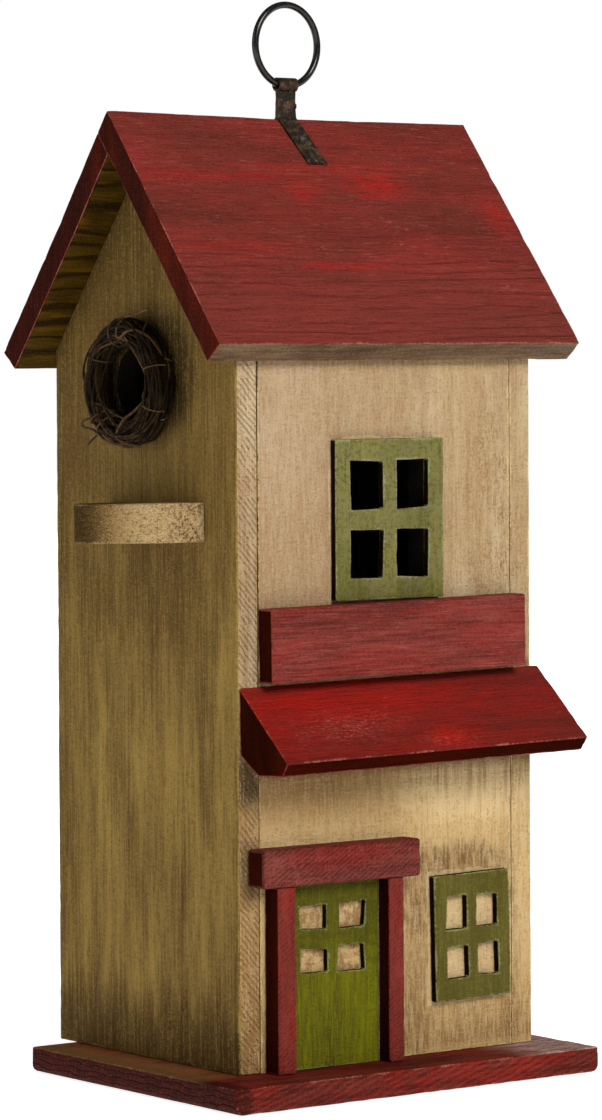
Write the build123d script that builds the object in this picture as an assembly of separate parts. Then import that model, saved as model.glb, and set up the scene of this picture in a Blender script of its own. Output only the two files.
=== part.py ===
from build123d import *
import os
from math import cos, radians, sin, tan

# A small wooden birdhouse with a steep two-board roof and a shop-front facade.
# X runs along the ridge and the facade, -Y is the facade with the little door,
# -X is the gable with the entrance hole, Z is up.
# The origin is on the underside of the base board, below the middle of the house.
# Lengths are in millimetres, angles in degrees.

# --- box of the house ---
BOARD = 10.5
HOUSE_LENGTH = 150.0
HOUSE_DEPTH = 129.0

# --- base board; the house stands well back on it ---
BASE_LENGTH = 184.5
BASE_LEFT_OVERHANG = 21.1
BASE_FRONT_OVERHANG = 27.5
BASE_END_ROUND = 3.2

# --- roof: the front board laps over the upper edge of the rear board ---
ROOF_BOARD = 11.0
ROOF_LENGTH = 184.0
ROOF_SHIFT_X = 0.5
ROOF_ANGLE = 50.7
RIDGE_Z = 395.6
FRONT_SPAN = 77.0
REAR_SPAN = 79.2

# --- clean-out door: the rear wall, hung on two nails near its top ---
CLEANOUT_THICKNESS = 10.0
CLEANOUT_SIDE_GAP = 0.8
CLEANOUT_STOP_GAP = 0.3
CLEANOUT_BOTTOM_Z = 2.0
CLEANOUT_TOP_Z = 296.0
CLEANOUT_PIVOT_Z = 284.0
PIVOT_NAIL_LENGTH = 26.0
PIVOT_CLEARANCE = 0.08

# --- turn button that keeps the clean-out door shut ---
BUTTON_LENGTH = 28.0
BUTTON_WIDTH = 9.0
BUTTON_THICKNESS = 3.5
BUTTON_PIVOT_Z = 42.0
BUTTON_PLAY = 0.1
WASHER_THICKNESS = 0.5
WASHER_DIAMETER = 6.8

# --- entrance ---
HOLE_DIAMETER = 32.0
HOLE_Y = 3.0
HOLE_Z = 286.0
WREATH_RADIUS = 22.0
WREATH_TUBE_RADIUS = 5.9
LEDGE_RADIUS = 33.7
LEDGE_THICKNESS = 16.0
LEDGE_Y = -9.1
LEDGE_TOP_Z = 237.6
LEDGE_TILT = 1.2

# --- facade trim ---
UPPER_WINDOW_X = -0.7
UPPER_WINDOW_Z = 230.5
UPPER_WINDOW_SIZE = (55.2, 65.2)
UPPER_PANE_SIZE = (16.0, 19.2)
UPPER_PANE_PITCH = (23.2, 28.0)
WINDOW_THICKNESS = 3.5
WINDOW_HOLE_MARGIN = 1.6

LOWER_WINDOW_X = 41.2
LOWER_WINDOW_Z = 57.9
LOWER_WINDOW_SIZE = (39.4, 52.0)
LOWER_PANE_SIZE = (10.6, 12.9)
LOWER_PANE_PITCH = (15.6, 20.2)
LOWER_WINDOW_TILT = 1.2

SIGN_SIZE = (130.0, 29.7)
SIGN_THICKNESS = 9.6
SIGN_CENTRE = (0.3, 182.3)
SIGN_TILT = 0.85

AWNING_LENGTH = 153.4
AWNING_X = 2.4
AWNING_TOP_Z = 166.4
AWNING_OUTLINE = [(0, 0), (0, -27.2), (-12.0, -34.6), (-28.0, -33.8), (-32.0, -28.2)]
AWNING_TILT = 0.95

LINTEL_X = (-70.6, 8.6)
LINTEL_Z = (85.4, 100.8)
LINTEL_THICKNESS = 10.9
POST_THICKNESS = 9.6
LEFT_POST_X = (-62.4, -53.4)
RIGHT_POST_X = (-6.8, 1.0)
DOOR_THICKNESS = 3.0
DOOR_PANE_SIZE = (13.0, 9.6)
DOOR_PANE_PITCH = (19.3, 17.6)
DOOR_PANES_CENTRE = (-30.6, 62.6)

# --- hanger ---
STRAP_WIDTH = 9.6
STRAP_THICKNESS = 0.9
STRAP_X = -2.2
STRAP_FLAP_LENGTH = 25.5
STRAP_SKEW = 9.3
RING_OUTER_DIAMETER = 36.6
RING_WIRE = 2.9
RING_YAW = 4.0
RING_X = -1.6
RING_PIVOT_Z = 409.6
LOOP_CLEARANCE = 0.18

# --- fasteners; distances along the roof are measured down the slope from the ridge ---
NAIL_SHANK = 1.6
NAIL_HEAD = 3.0
NAIL_HEAD_THICKNESS = 0.6
NAIL_SET_DEPTH = 1.0
ROOF_NAIL_LENGTH = 27.0
ROOF_NAIL_DISTANCES = (30, 62, 94)
BRAD_SHANK = 1.2
BRAD_HEAD = 1.9
BRAD_LENGTH = 24.0
BRAD_HEIGHTS = (30, 105, 180, 262)
TRIM_NAIL_LENGTH = 18.0
AWNING_NAILS = ((-52, 146), (0, 147), (52, 148))
SIGN_NAILS = ((-45, 182), (46, 183))
LINTEL_NAILS = ((-50, 93), (-8, 93))
LEDGE_NAIL_LENGTH = 28.0
LEDGE_NAIL_SPREAD = 17.0
PIVOT_NAIL_SHANK = 2.4
PIVOT_NAIL_HEAD = 4.6
STRAP_NAIL_SHANK = 1.4
STRAP_NAIL_LENGTH = 9.0
STRAP_NAIL_HEAD = (3.2, 0.8)
STRAP_NAIL_DISTANCE = 12.8
BASE_SCREW_SHANK = 3.0
BASE_SCREW_HEAD = (6.4, 2.5)
BASE_SCREW_LENGTH = 30.0
BASE_SCREW_Y = 38.0
BASE_SCREW_FRONT_X = 30.0
BUTTON_SCREW_SHANK = 2.4
BUTTON_SCREW_BORE = 2.6
BUTTON_SCREW_DEPTH = 15.0
BUTTON_SCREW_HEAD = (6.4, 2.2)
BUTTON_SCREW_SLOT = (0.8, 0.9)

# --- places worked out from the sizes above ---
LEFT = -HOUSE_LENGTH / 2
RIGHT = HOUSE_LENGTH / 2
FRONT = -HOUSE_DEPTH / 2
REAR = HOUSE_DEPTH / 2
FLOOR_Z = BOARD
INNER_LEFT = LEFT + BOARD
INNER_RIGHT = RIGHT - BOARD
INNER_FRONT = FRONT + BOARD
INNER_REAR = REAR - CLEANOUT_THICKNESS
SLOPE = tan(radians(ROOF_ANGLE))
ROOF_SIN = sin(radians(ROOF_ANGLE))
ROOF_COS = cos(radians(ROOF_ANGLE))
ROOF_LEFT = ROOF_SHIFT_X - ROOF_LENGTH / 2
ROOF_RIGHT = ROOF_SHIFT_X + ROOF_LENGTH / 2
APEX_Z = RIDGE_Z - ROOF_BOARD / ROOF_COS
BASE_LEFT = LEFT - BASE_LEFT_OVERHANG
BASE_RIGHT = BASE_LEFT + BASE_LENGTH
BASE_FRONT = FRONT - BASE_FRONT_OVERHANG
BASE_REAR = INNER_REAR - CLEANOUT_STOP_GAP
CLEANOUT_PIVOT_Y = REAR - CLEANOUT_THICKNESS / 2
BUTTON_X = RIGHT - BOARD / 2
BUTTON_BACK_Y = REAR + WASHER_THICKNESS + BUTTON_PLAY
BUTTON_FRONT_Y = BUTTON_BACK_Y + BUTTON_THICKNESS
LAP = ROOF_BOARD / sin(radians(2 * ROOF_ANGLE))
RING_RADIUS = (RING_OUTER_DIAMETER - RING_WIRE) / 2
LOOP_REACH = STRAP_WIDTH / 2 + abs(RING_X - STRAP_X)
RING_SAG = RING_RADIUS - (RING_RADIUS ** 2 - LOOP_REACH ** 2) ** 0.5
RING_CENTRE_Z = RING_PIVOT_Z - RING_SAG / 2 + RING_RADIUS
LOOP_INNER_RADIUS = RING_WIRE / 2 + RING_SAG / 2 + LOOP_CLEARANCE
LOOP_OUTER_RADIUS = LOOP_INNER_RADIUS + STRAP_THICKNESS


def block(low, high):
    """Solid box between two opposite corners."""
    sizes = [high[i] - low[i] for i in range(3)]
    middle = [(high[i] + low[i]) / 2 for i in range(3)]
    return Pos(*middle) * Box(*sizes)


def prism_x(outline, x_start, x_end):
    """Solid with an outline of (y, z) points, running along X."""
    wire = Polyline([(x_start, y, z) for y, z in outline], close=True)
    return extrude(make_face(wire), amount=x_end - x_start, dir=(1, 0, 0))


def rod(start, end, radius):
    """Round bar from one point to another."""
    axis = Vector(*end) - Vector(*start)
    plane = Plane(origin=start, z_dir=axis)
    return extrude(plane * Circle(radius), amount=axis.length)


def nail(head_point, direction, length, shank, head, head_thickness=NAIL_HEAD_THICKNESS):
    """Nail whose flat head lies flush at head_point and whose shank runs along direction."""
    way = Vector(*direction).normalized()
    start = Vector(*head_point)
    cap = rod(start, start + way * head_thickness, head / 2)
    body = rod(start, start + way * (length - shank), shank / 2)
    tip_plane = Plane(origin=start + way * (length - shank), z_dir=way)
    tip = tip_plane * Pos(0, 0, shank / 2) * Cone(shank / 2, 0.1, shank)
    return cap + body + tip


def joined(solids):
    """Several separate solids as one group."""
    return Compound(children=list(solids))


def without(solid, cutters):
    """A solid with the shapes of other pieces taken out of it."""
    for cutter in cutters:
        solid = solid - cutter
    return solid


def roof_underside_z(y):
    """Height of the roof's underside at a distance y from the ridge line."""
    return APEX_Z - abs(y) * SLOPE


def slope_point(x, distance, side, lift=0.0):
    """Point on a roof board's top, at a distance down from the ridge; side is -1 front, 1 rear."""
    y = side * (distance * ROOF_COS + lift * ROOF_SIN)
    z = RIDGE_Z - distance * ROOF_SIN + lift * ROOF_COS
    return (x, y, z)


# --- fasteners -------------------------------------------------------------

def roof_nails():
    """Nails through the roof boards into the gable tops, their heads set under the painted face."""
    nails = []
    for side in (-1, 1):
        into_wall = (0, -side * ROOF_SIN, -ROOF_COS)
        for x in (LEFT + BOARD / 2, RIGHT - BOARD / 2):
            for distance in ROOF_NAIL_DISTANCES:
                head = slope_point(x, distance, side, -NAIL_SET_DEPTH)
                nails.append(nail(head, into_wall, ROOF_NAIL_LENGTH, NAIL_SHANK, NAIL_HEAD))
    return nails


def wall_brads():
    """Brads through the gable walls into the front panel's edges, their heads set under the paint."""
    brads = []
    for x, way in ((LEFT, 1), (RIGHT, -1)):
        for z in BRAD_HEIGHTS:
            head = (x + way * NAIL_SET_DEPTH, FRONT + BOARD / 2, z)
            brads.append(nail(head, (way, 0, 0), BRAD_LENGTH, BRAD_SHANK, BRAD_HEAD))
    return brads


def trim_nails():
    """Nails from inside the front wall panel into the awning, the sign and the lintel."""
    nails = []
    for x, z in AWNING_NAILS + SIGN_NAILS + LINTEL_NAILS:
        nails.append(nail((x, INNER_FRONT, z), (0, -1, 0), TRIM_NAIL_LENGTH, NAIL_SHANK, NAIL_HEAD))
    return nails


def ledge_nails():
    """Nails from inside the entrance gable into the perch ledge."""
    z = LEDGE_TOP_Z - LEDGE_THICKNESS / 2
    nails = []
    for y in (LEDGE_Y - LEDGE_NAIL_SPREAD, LEDGE_Y + LEDGE_NAIL_SPREAD):
        nails.append(nail((INNER_LEFT, y, z), (-1, 0, 0), LEDGE_NAIL_LENGTH, NAIL_SHANK, NAIL_HEAD))
    return nails


def base_screw(x, y):
    """Countersunk wood screw from beneath the base, its head flush with the underside."""
    head_diameter, head_height = BASE_SCREW_HEAD
    radius = BASE_SCREW_SHANK / 2
    tip_length = BASE_SCREW_SHANK
    shank_end = BASE_SCREW_LENGTH - tip_length
    head = Pos(x, y, head_height / 2) * Cone(head_diameter / 2, radius, head_height)
    shank = rod((x, y, 0), (x, y, shank_end), radius)
    tip = Pos(x, y, shank_end + tip_length / 2) * Cone(radius, radius / 10, tip_length)
    return head + shank + tip


def base_screws():
    """Screws up through the base into both gable walls and the front wall panel."""
    places = [(x, y) for x in (LEFT + BOARD / 2, RIGHT - BOARD / 2) for y in (-BASE_SCREW_Y, BASE_SCREW_Y)]
    places += [(x, FRONT + BOARD / 2) for x in (-BASE_SCREW_FRONT_X, BASE_SCREW_FRONT_X)]
    return [base_screw(x, y) for x, y in places]


def pivot_nails():
    """The two nails that the clean-out door turns on, driven in from the gables."""
    nails = []
    for x, way in ((LEFT, 1), (RIGHT, -1)):
        head = (x, CLEANOUT_PIVOT_Y, CLEANOUT_PIVOT_Z)
        nails.append(nail(head, (way, 0, 0), PIVOT_NAIL_LENGTH, PIVOT_NAIL_SHANK, PIVOT_NAIL_HEAD))
    return nails


def strap_nail(side):
    """Nail with a visible round head that holds one flap of the strap to the roof."""
    shift = STRAP_NAIL_DISTANCE * tan(radians(STRAP_SKEW)) if side < 0 else 0
    way = Vector(0, -side * ROOF_SIN, -ROOF_COS)
    face = Vector(*slope_point(STRAP_X + shift, STRAP_NAIL_DISTANCE, side, STRAP_THICKNESS))
    head_diameter, head_height = STRAP_NAIL_HEAD
    crown = rod(face, face - way * head_height, head_diameter / 2)
    return crown + rod(face, face + way * STRAP_NAIL_LENGTH, STRAP_NAIL_SHANK / 2)


# --- frame of the house ----------------------------------------------------

def base_board():
    """Base board with its two end edges worn round underneath."""
    board = block((BASE_LEFT, BASE_FRONT, 0), (BASE_RIGHT, BASE_REAR, BOARD))
    under_ends = board.edges().filter_by(Axis.Y).sort_by(Axis.Z)[:2]
    return fillet(under_ends, BASE_END_ROUND)


def gable_wall(x_start):
    """Pentagonal end wall that reaches up under both roof boards."""
    eave_z = roof_underside_z(REAR)
    outline = [(FRONT, FLOOR_Z), (REAR, FLOOR_Z), (REAR, eave_z), (0, APEX_Z), (FRONT, eave_z)]
    return prism_x(outline, x_start, x_start + BOARD)


def entrance_gable_wall():
    """Gable wall with the round entrance hole."""
    hole = rod((LEFT - 1, HOLE_Y, HOLE_Z), (INNER_LEFT + 1, HOLE_Y, HOLE_Z), HOLE_DIAMETER / 2)
    return gable_wall(LEFT) - hole


def front_wall_panel():
    """Front wall between the gables, bevelled under the roof and open behind the upper window."""
    outline = [(FRONT, FLOOR_Z), (INNER_FRONT, FLOOR_Z)]
    outline += [(INNER_FRONT, roof_underside_z(INNER_FRONT)), (FRONT, roof_underside_z(FRONT))]
    wall = prism_x(outline, INNER_LEFT, INNER_RIGHT)
    half_x = (UPPER_PANE_PITCH[0] + UPPER_PANE_SIZE[0]) / 2 + WINDOW_HOLE_MARGIN
    half_z = (UPPER_PANE_PITCH[1] + UPPER_PANE_SIZE[1]) / 2 + WINDOW_HOLE_MARGIN
    low = (UPPER_WINDOW_X - half_x, FRONT - 1, UPPER_WINDOW_Z - half_z)
    high = (UPPER_WINDOW_X + half_x, INNER_FRONT + 1, UPPER_WINDOW_Z + half_z)
    return wall - block(low, high)


def roof_front_board():
    """Front roof board; its upper edge is bevelled level with the rear slope."""
    eave_y = -FRONT_SPAN
    eave_z = RIDGE_Z - FRONT_SPAN * SLOPE
    outline = [(0, RIDGE_Z), (eave_y, eave_z)]
    outline.append((eave_y + ROOF_BOARD * ROOF_SIN, eave_z - ROOF_BOARD * ROOF_COS))
    outline.append((LAP * ROOF_COS, RIDGE_Z - LAP * ROOF_SIN))
    return prism_x(outline, ROOF_LEFT, ROOF_RIGHT)


def roof_rear_board():
    """Rear roof board; its upper edge butts against the underside of the front one."""
    eave_z = RIDGE_Z - REAR_SPAN * SLOPE
    outline = [(LAP * ROOF_COS, RIDGE_Z - LAP * ROOF_SIN), (REAR_SPAN, eave_z)]
    outline.append((REAR_SPAN - ROOF_BOARD * ROOF_SIN, eave_z - ROOF_BOARD * ROOF_COS))
    outline.append((0, APEX_Z))
    return prism_x(outline, ROOF_LEFT, ROOF_RIGHT)


# --- clean-out door and its button -----------------------------------------

def cleanout_door():
    """Rear wall that swings out on the pivot nails and stops against the base's rear edge."""
    low = (INNER_LEFT + CLEANOUT_SIDE_GAP, INNER_REAR, CLEANOUT_BOTTOM_Z)
    high = (INNER_RIGHT - CLEANOUT_SIDE_GAP, REAR, CLEANOUT_TOP_Z)
    depth = PIVOT_NAIL_LENGTH - BOARD + 1
    radius = PIVOT_NAIL_SHANK / 2 + PIVOT_CLEARANCE
    bores = []
    for x, way in ((INNER_LEFT, 1), (INNER_RIGHT, -1)):
        start = (x, CLEANOUT_PIVOT_Y, CLEANOUT_PIVOT_Z)
        bores.append(rod(start, (x + way * depth, CLEANOUT_PIVOT_Y, CLEANOUT_PIVOT_Z), radius))
    return without(block(low, high), bores)


def turn_button():
    """Hardwood button that hangs down beside the door and turns across it."""
    half = BUTTON_WIDTH / 2
    plate = Rot(90, 0, 0) * SlotCenterToCenter(BUTTON_LENGTH - BUTTON_WIDTH, BUTTON_WIDTH, rotation=90)
    drop = (BUTTON_LENGTH - BUTTON_WIDTH) / 2
    plate = Pos(BUTTON_X, BUTTON_BACK_Y, BUTTON_PIVOT_Z - drop) * plate
    body = extrude(plate, amount=BUTTON_THICKNESS, dir=(0, 1, 0))
    start = (BUTTON_X, BUTTON_BACK_Y - 1, BUTTON_PIVOT_Z)
    return body - rod(start, (BUTTON_X, BUTTON_FRONT_Y + 1, BUTTON_PIVOT_Z), BUTTON_SCREW_BORE / 2)


def button_washer():
    """Thin washer between the button and the wall's edge."""
    start = (BUTTON_X, REAR, BUTTON_PIVOT_Z)
    end = (BUTTON_X, REAR + WASHER_THICKNESS, BUTTON_PIVOT_Z)
    return rod(start, end, WASHER_DIAMETER / 2) - rod(start, end, BUTTON_SCREW_SHANK / 2)


def button_screw():
    """Round-headed screw that the turn button pivots on."""
    under_head = BUTTON_FRONT_Y + BUTTON_PLAY
    diameter, height = BUTTON_SCREW_HEAD
    slot_width, slot_depth = BUTTON_SCREW_SLOT
    start = (BUTTON_X, REAR - BUTTON_SCREW_DEPTH, BUTTON_PIVOT_Z)
    shank = rod(start, (BUTTON_X, under_head + 0.5, BUTTON_PIVOT_Z), BUTTON_SCREW_SHANK / 2)
    dome = Pos(BUTTON_X, under_head, BUTTON_PIVOT_Z) * Sphere(diameter / 2)
    keep_low = (BUTTON_X - diameter, under_head, BUTTON_PIVOT_Z - diameter)
    keep_high = (BUTTON_X + diameter, under_head + height, BUTTON_PIVOT_Z + diameter)
    slot_low = (BUTTON_X - diameter, under_head + height - slot_depth, BUTTON_PIVOT_Z - slot_width / 2)
    slot_high = (BUTTON_X + diameter, under_head + height + 1, BUTTON_PIVOT_Z + slot_width / 2)
    head = (dome & block(keep_low, keep_high)) - block(slot_low, slot_high)
    return shank + head


# --- entrance --------------------------------------------------------------

def entrance_wreath():
    """Vine ring fixed flat against the wall around the entrance hole."""
    ring = Rot(0, 90, 0) * Torus(WREATH_RADIUS, WREATH_TUBE_RADIUS)
    return Pos(LEFT - WREATH_TUBE_RADIUS, HOLE_Y, HOLE_Z) * ring


def perch_ledge():
    """Half-round wooden shelf under the entrance hole, fixed slightly out of level."""
    disc = extrude(Circle(LEDGE_RADIUS), amount=LEDGE_THICKNESS)
    side = block((0, -2 * LEDGE_RADIUS, -1), (2 * LEDGE_RADIUS, 2 * LEDGE_RADIUS, LEDGE_THICKNESS + 1))
    half = disc - side
    half = Pos(0, 0, -LEDGE_THICKNESS) * half
    return Pos(LEFT, LEDGE_Y, LEDGE_TOP_Z) * Rot(-LEDGE_TILT, 0, 0) * half


# --- facade ----------------------------------------------------------------

def on_facade(shape, x, z, tilt=0.0):
    """Place a shape drawn around the origin, its back on y = 0, onto the facade."""
    return Pos(x, FRONT, z) * Rot(0, -tilt, 0) * shape


def four_pane_board(size, panes, pitch, thickness, panes_centre=(0, 0)):
    """Flat board with four square-cut panes, its back on y = 0."""
    board = block((-size[0] / 2, -thickness, -size[1] / 2), (size[0] / 2, 0, size[1] / 2))
    for side_x in (-0.5, 0.5):
        for side_z in (-0.5, 0.5):
            x = panes_centre[0] + side_x * pitch[0]
            z = panes_centre[1] + side_z * pitch[1]
            low = (x - panes[0] / 2, -thickness - 1, z - panes[1] / 2)
            board = board - block(low, (x + panes[0] / 2, 1, z + panes[1] / 2))
    return board


def upper_window_frame():
    """Window frame over an opening into the house."""
    frame = four_pane_board(UPPER_WINDOW_SIZE, UPPER_PANE_SIZE, UPPER_PANE_PITCH, WINDOW_THICKNESS)
    return on_facade(frame, UPPER_WINDOW_X, UPPER_WINDOW_Z)


def lower_window_frame():
    """Blind window frame laid on the wall, a little out of true."""
    frame = four_pane_board(LOWER_WINDOW_SIZE, LOWER_PANE_SIZE, LOWER_PANE_PITCH, WINDOW_THICKNESS)
    return on_facade(frame, LOWER_WINDOW_X, LOWER_WINDOW_Z, LOWER_WINDOW_TILT)


def false_door():
    """Blind door with four panes between the posts."""
    left = LEFT_POST_X[1]
    right = RIGHT_POST_X[0]
    size = (right - left, LINTEL_Z[0] - FLOOR_Z)
    centre = ((left + right) / 2, (LINTEL_Z[0] + FLOOR_Z) / 2)
    panes_centre = (DOOR_PANES_CENTRE[0] - centre[0], DOOR_PANES_CENTRE[1] - centre[1])
    board = four_pane_board(size, DOOR_PANE_SIZE, DOOR_PANE_PITCH, DOOR_THICKNESS, panes_centre)
    return on_facade(board, *centre)


def sign_board():
    """Plain board above the awning."""
    half_x = SIGN_SIZE[0] / 2
    half_z = SIGN_SIZE[1] / 2
    board = block((-half_x, -SIGN_THICKNESS, -half_z), (half_x, 0, half_z))
    return on_facade(board, *SIGN_CENTRE, SIGN_TILT)


def awning():
    """Solid wedge-shaped awning over the door and the lower window."""
    wedge = prism_x(AWNING_OUTLINE, -AWNING_LENGTH / 2, AWNING_LENGTH / 2)
    return on_facade(wedge, AWNING_X, AWNING_TOP_Z, AWNING_TILT)


def door_lintel():
    """Heavy lintel over the door."""
    return block((LINTEL_X[0], FRONT - LINTEL_THICKNESS, LINTEL_Z[0]), (LINTEL_X[1], FRONT, LINTEL_Z[1]))


def door_post(span):
    """Post beside the door, from the base up to the lintel."""
    return block((span[0], FRONT - POST_THICKNESS, FLOOR_Z), (span[1], FRONT, LINTEL_Z[0]))


# --- hanger ----------------------------------------------------------------

def hanger_ring():
    """Welded wire ring, standing a few degrees off the plane of the ridge."""
    ring = Rot(0, 0, RING_YAW) * Rot(90, 0, 0) * Torus(RING_RADIUS, RING_WIRE / 2)
    return Pos(RING_X, 0, RING_CENTRE_Z) * ring


def strap_profile():
    """The strap seen from its end: a loop on a double stem, with a short foot on each slope."""
    eye = Pos(0, RING_PIVOT_Z) * Circle(LOOP_OUTER_RADIUS)
    stem_half = STRAP_THICKNESS
    stem_top = RING_PIVOT_Z - LOOP_INNER_RADIUS
    stem_base = RIDGE_Z - stem_half * SLOPE
    outline = [(-stem_half, stem_base), (0, RIDGE_Z), (stem_half, stem_base)]
    outline += [(stem_half, stem_top), (-stem_half, stem_top)]
    profile = eye + make_face(Polyline(outline, close=True))
    return profile - Pos(0, RING_PIVOT_Z) * Circle(LOOP_INNER_RADIUS)


def strap_flap(side, skew):
    """Flap of the strap lying on one slope of the roof."""
    sheet = block((-STRAP_WIDTH / 2, 0, 0), (STRAP_WIDTH / 2, STRAP_FLAP_LENGTH, STRAP_THICKNESS))
    sheet = Rot(0, 0, side * skew) * sheet
    if side < 0:
        sheet = mirror(sheet, Plane.XZ)
    return Pos(STRAP_X, 0, RIDGE_Z) * Rot(-side * ROOF_ANGLE, 0, 0) * sheet


def hanger_strap():
    """Metal strip folded around the ring, with a flap nailed to each roof board."""
    profile = Plane.YZ * strap_profile()
    stem = Pos(STRAP_X - STRAP_WIDTH / 2, 0, 0) * extrude(profile, amount=STRAP_WIDTH)
    slopes = [(0, RIDGE_Z)]
    slopes += [(side * REAR_SPAN, RIDGE_Z - REAR_SPAN * SLOPE) for side in (-1, 1)]
    roof_space = prism_x(slopes, ROOF_LEFT, ROOF_RIGHT)
    strap = stem + strap_flap(-1, STRAP_SKEW) + strap_flap(1, 0.0)
    return strap - roof_space


# --- assembly --------------------------------------------------------------

roof_nail_set = roof_nails()
wall_brad_set = wall_brads()
trim_nail_set = trim_nails()
ledge_nail_set = ledge_nails()
base_screw_set = base_screws()
pivot_nail_set = pivot_nails()
strap_nail_set = [strap_nail(-1), strap_nail(1)]
screw = button_screw()

left_wall_cutters = roof_nail_set + wall_brad_set + ledge_nail_set + base_screw_set + pivot_nail_set
right_wall_cutters = roof_nail_set + wall_brad_set + base_screw_set + pivot_nail_set + [screw]
front_cutters = wall_brad_set + trim_nail_set + base_screw_set
facade_cutters = trim_nail_set
roof_cutters = roof_nail_set + strap_nail_set

nodes = {
    "base_board": without(base_board(), base_screw_set),
    "entrance_gable_wall": without(entrance_gable_wall(), left_wall_cutters),
    "plain_gable_wall": without(gable_wall(INNER_RIGHT), right_wall_cutters),
    "front_wall_panel": without(front_wall_panel(), front_cutters),
    "cleanout_door": cleanout_door(),
    "roof_front_board": without(roof_front_board(), roof_cutters),
    "roof_rear_board": without(roof_rear_board(), roof_cutters),
    "upper_window_frame": upper_window_frame(),
    "sign_board": without(sign_board(), facade_cutters),
    "awning": without(awning(), facade_cutters),
    "door_lintel": without(door_lintel(), facade_cutters),
    "door_post_left": door_post(LEFT_POST_X),
    "door_post_right": door_post(RIGHT_POST_X),
    "false_door": false_door(),
    "lower_window_frame": lower_window_frame(),
    "entrance_wreath": entrance_wreath(),
    "perch_ledge": without(perch_ledge(), ledge_nail_set),
    "hanger_strap": without(hanger_strap(), strap_nail_set),
    "hanger_ring": hanger_ring(),
    "turn_button": turn_button(),
    "button_washer": button_washer(),
    "button_screw": screw,
    "cleanout_pivot_nails": joined(pivot_nail_set),
    "strap_nails": joined(strap_nail_set),
    "roof_nails": joined(roof_nail_set),
    "wall_brads": joined(wall_brad_set),
    "trim_nails": joined(trim_nail_set),
    "ledge_nails": joined(ledge_nail_set),
    "base_screws": joined(base_screw_set),
}

os.makedirs("parts", exist_ok=True)
for name, shape in nodes.items():
    export_step(shape, f"parts/{name}.step")
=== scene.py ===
# The looks of a small wooden birdhouse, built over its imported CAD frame.
# Everything is in metres: X runs along the ridge, -Y is the shop-front facade,
# -X is the gable with the entrance hole, Z is up.
import random
from math import cos, pi, radians, sin, tan

import bmesh
import bpy
import numpy as np
from mathutils import Matrix, Vector, noise


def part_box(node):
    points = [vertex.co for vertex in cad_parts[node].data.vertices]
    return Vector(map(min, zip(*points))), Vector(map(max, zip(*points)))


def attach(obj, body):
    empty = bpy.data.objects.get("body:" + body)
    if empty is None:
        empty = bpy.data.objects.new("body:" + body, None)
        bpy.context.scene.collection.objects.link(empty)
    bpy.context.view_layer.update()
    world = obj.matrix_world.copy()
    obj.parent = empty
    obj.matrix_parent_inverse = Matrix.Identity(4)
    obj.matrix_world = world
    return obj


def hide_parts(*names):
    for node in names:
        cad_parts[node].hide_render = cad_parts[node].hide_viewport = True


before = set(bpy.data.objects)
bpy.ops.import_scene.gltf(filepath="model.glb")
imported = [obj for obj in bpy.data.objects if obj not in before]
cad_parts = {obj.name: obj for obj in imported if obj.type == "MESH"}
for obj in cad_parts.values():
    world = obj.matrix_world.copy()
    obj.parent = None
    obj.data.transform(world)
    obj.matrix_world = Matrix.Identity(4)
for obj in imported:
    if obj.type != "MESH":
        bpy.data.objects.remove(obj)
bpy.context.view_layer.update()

MM = 0.001


def mm(*values):
    """Millimetres in metres."""
    return tuple(value * MM for value in values)


# --- sizes that the frame's boxes don't give --------------------------------
ROOF_ANGLE = radians(50.7)
ROOF_BOARD = 11.0 * MM
RIDGE_WARP = 1.3 * MM
WARP_START, WARP_LENGTH, WARP_DEPTH = mm(-10, 80, 45)
BASE_ROUNDING = 3.2 * MM
HOLE_RADIUS = 16.0 * MM
HOLE_CENTRE = mm(3.0, 286.0)
CUT_PAST = 5 * MM
WREATH_RADIUS = 22.0 * MM
WREATH_TUBE = 5.6 * MM
WREATH_CANES = 76
LEDGE_RADIUS = 33.7 * MM
LEDGE_TOP = 237.6 * MM
LEDGE_Y = -9.1 * MM
LEDGE_THICKNESS = 16.0 * MM
LEDGE_TILT = radians(1.2)
STRAP_X = -2.2 * MM
STRAP_WIDTH = 9.6 * MM
STRAP_THICKNESS = 0.9 * MM
STRAP_FLAP = 25.5 * MM
STRAP_SKEW = radians(9.3)
RING_PIVOT_Z = 409.6 * MM
STRAP_LOOP = 2.52 * MM
SIGN_HALF = mm(65, 14.85)
SIGN_THICKNESS = 9.6 * MM
SIGN_PLACE = (*mm(0.3, 182.3), radians(0.85))
AWNING_HALF = 76.7 * MM
AWNING_OUTLINE = (mm(0, 0), mm(0, -27.2), mm(-12, -34.6), mm(-28, -33.8), mm(-32, -28.2))
AWNING_PLACE = (*mm(2.4, 166.4), radians(0.95))
FRAME_THICKNESS = 3.5 * MM
WALL_OPENING_INSET = 7.5 * MM
# (board, pane, pitch from pane to pane), each (across, up); then x, z and tilt of its middle
UPPER_WINDOW = (mm(55.2, 65.2), mm(16, 19.2), mm(23.2, 28))
UPPER_WINDOW_PLACE = mm(-0.7, 230.5)
LOWER_WINDOW = (mm(39.4, 52), mm(10.6, 12.9), mm(15.6, 20.2))
LOWER_WINDOW_PLACE = (*mm(41.2, 57.9), radians(1.2))
DOOR_PANE = mm(13, 9.6)
DOOR_PANE_PITCH = mm(19.3, 17.6)
DOOR_PANES_PLACE = mm(-30.6, 62.6)

# --- camera -----------------------------------------------------------------
CAMERA_PLACE = (-1.1413, -1.5481, 0.2960)
CAMERA_YAW = radians(36.514)
CAMERA_PITCH = radians(-1.2)
CAMERA_ROLL = radians(-0.321)
CAMERA_LENS = 148.15
CAMERA_SHIFT_Y = -0.0944


def low(node):
    """Lowest corner of a CAD node."""
    return Vector(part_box(node)[0])


def high(node):
    """Highest corner of a CAD node."""
    return Vector(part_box(node)[1])


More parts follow.
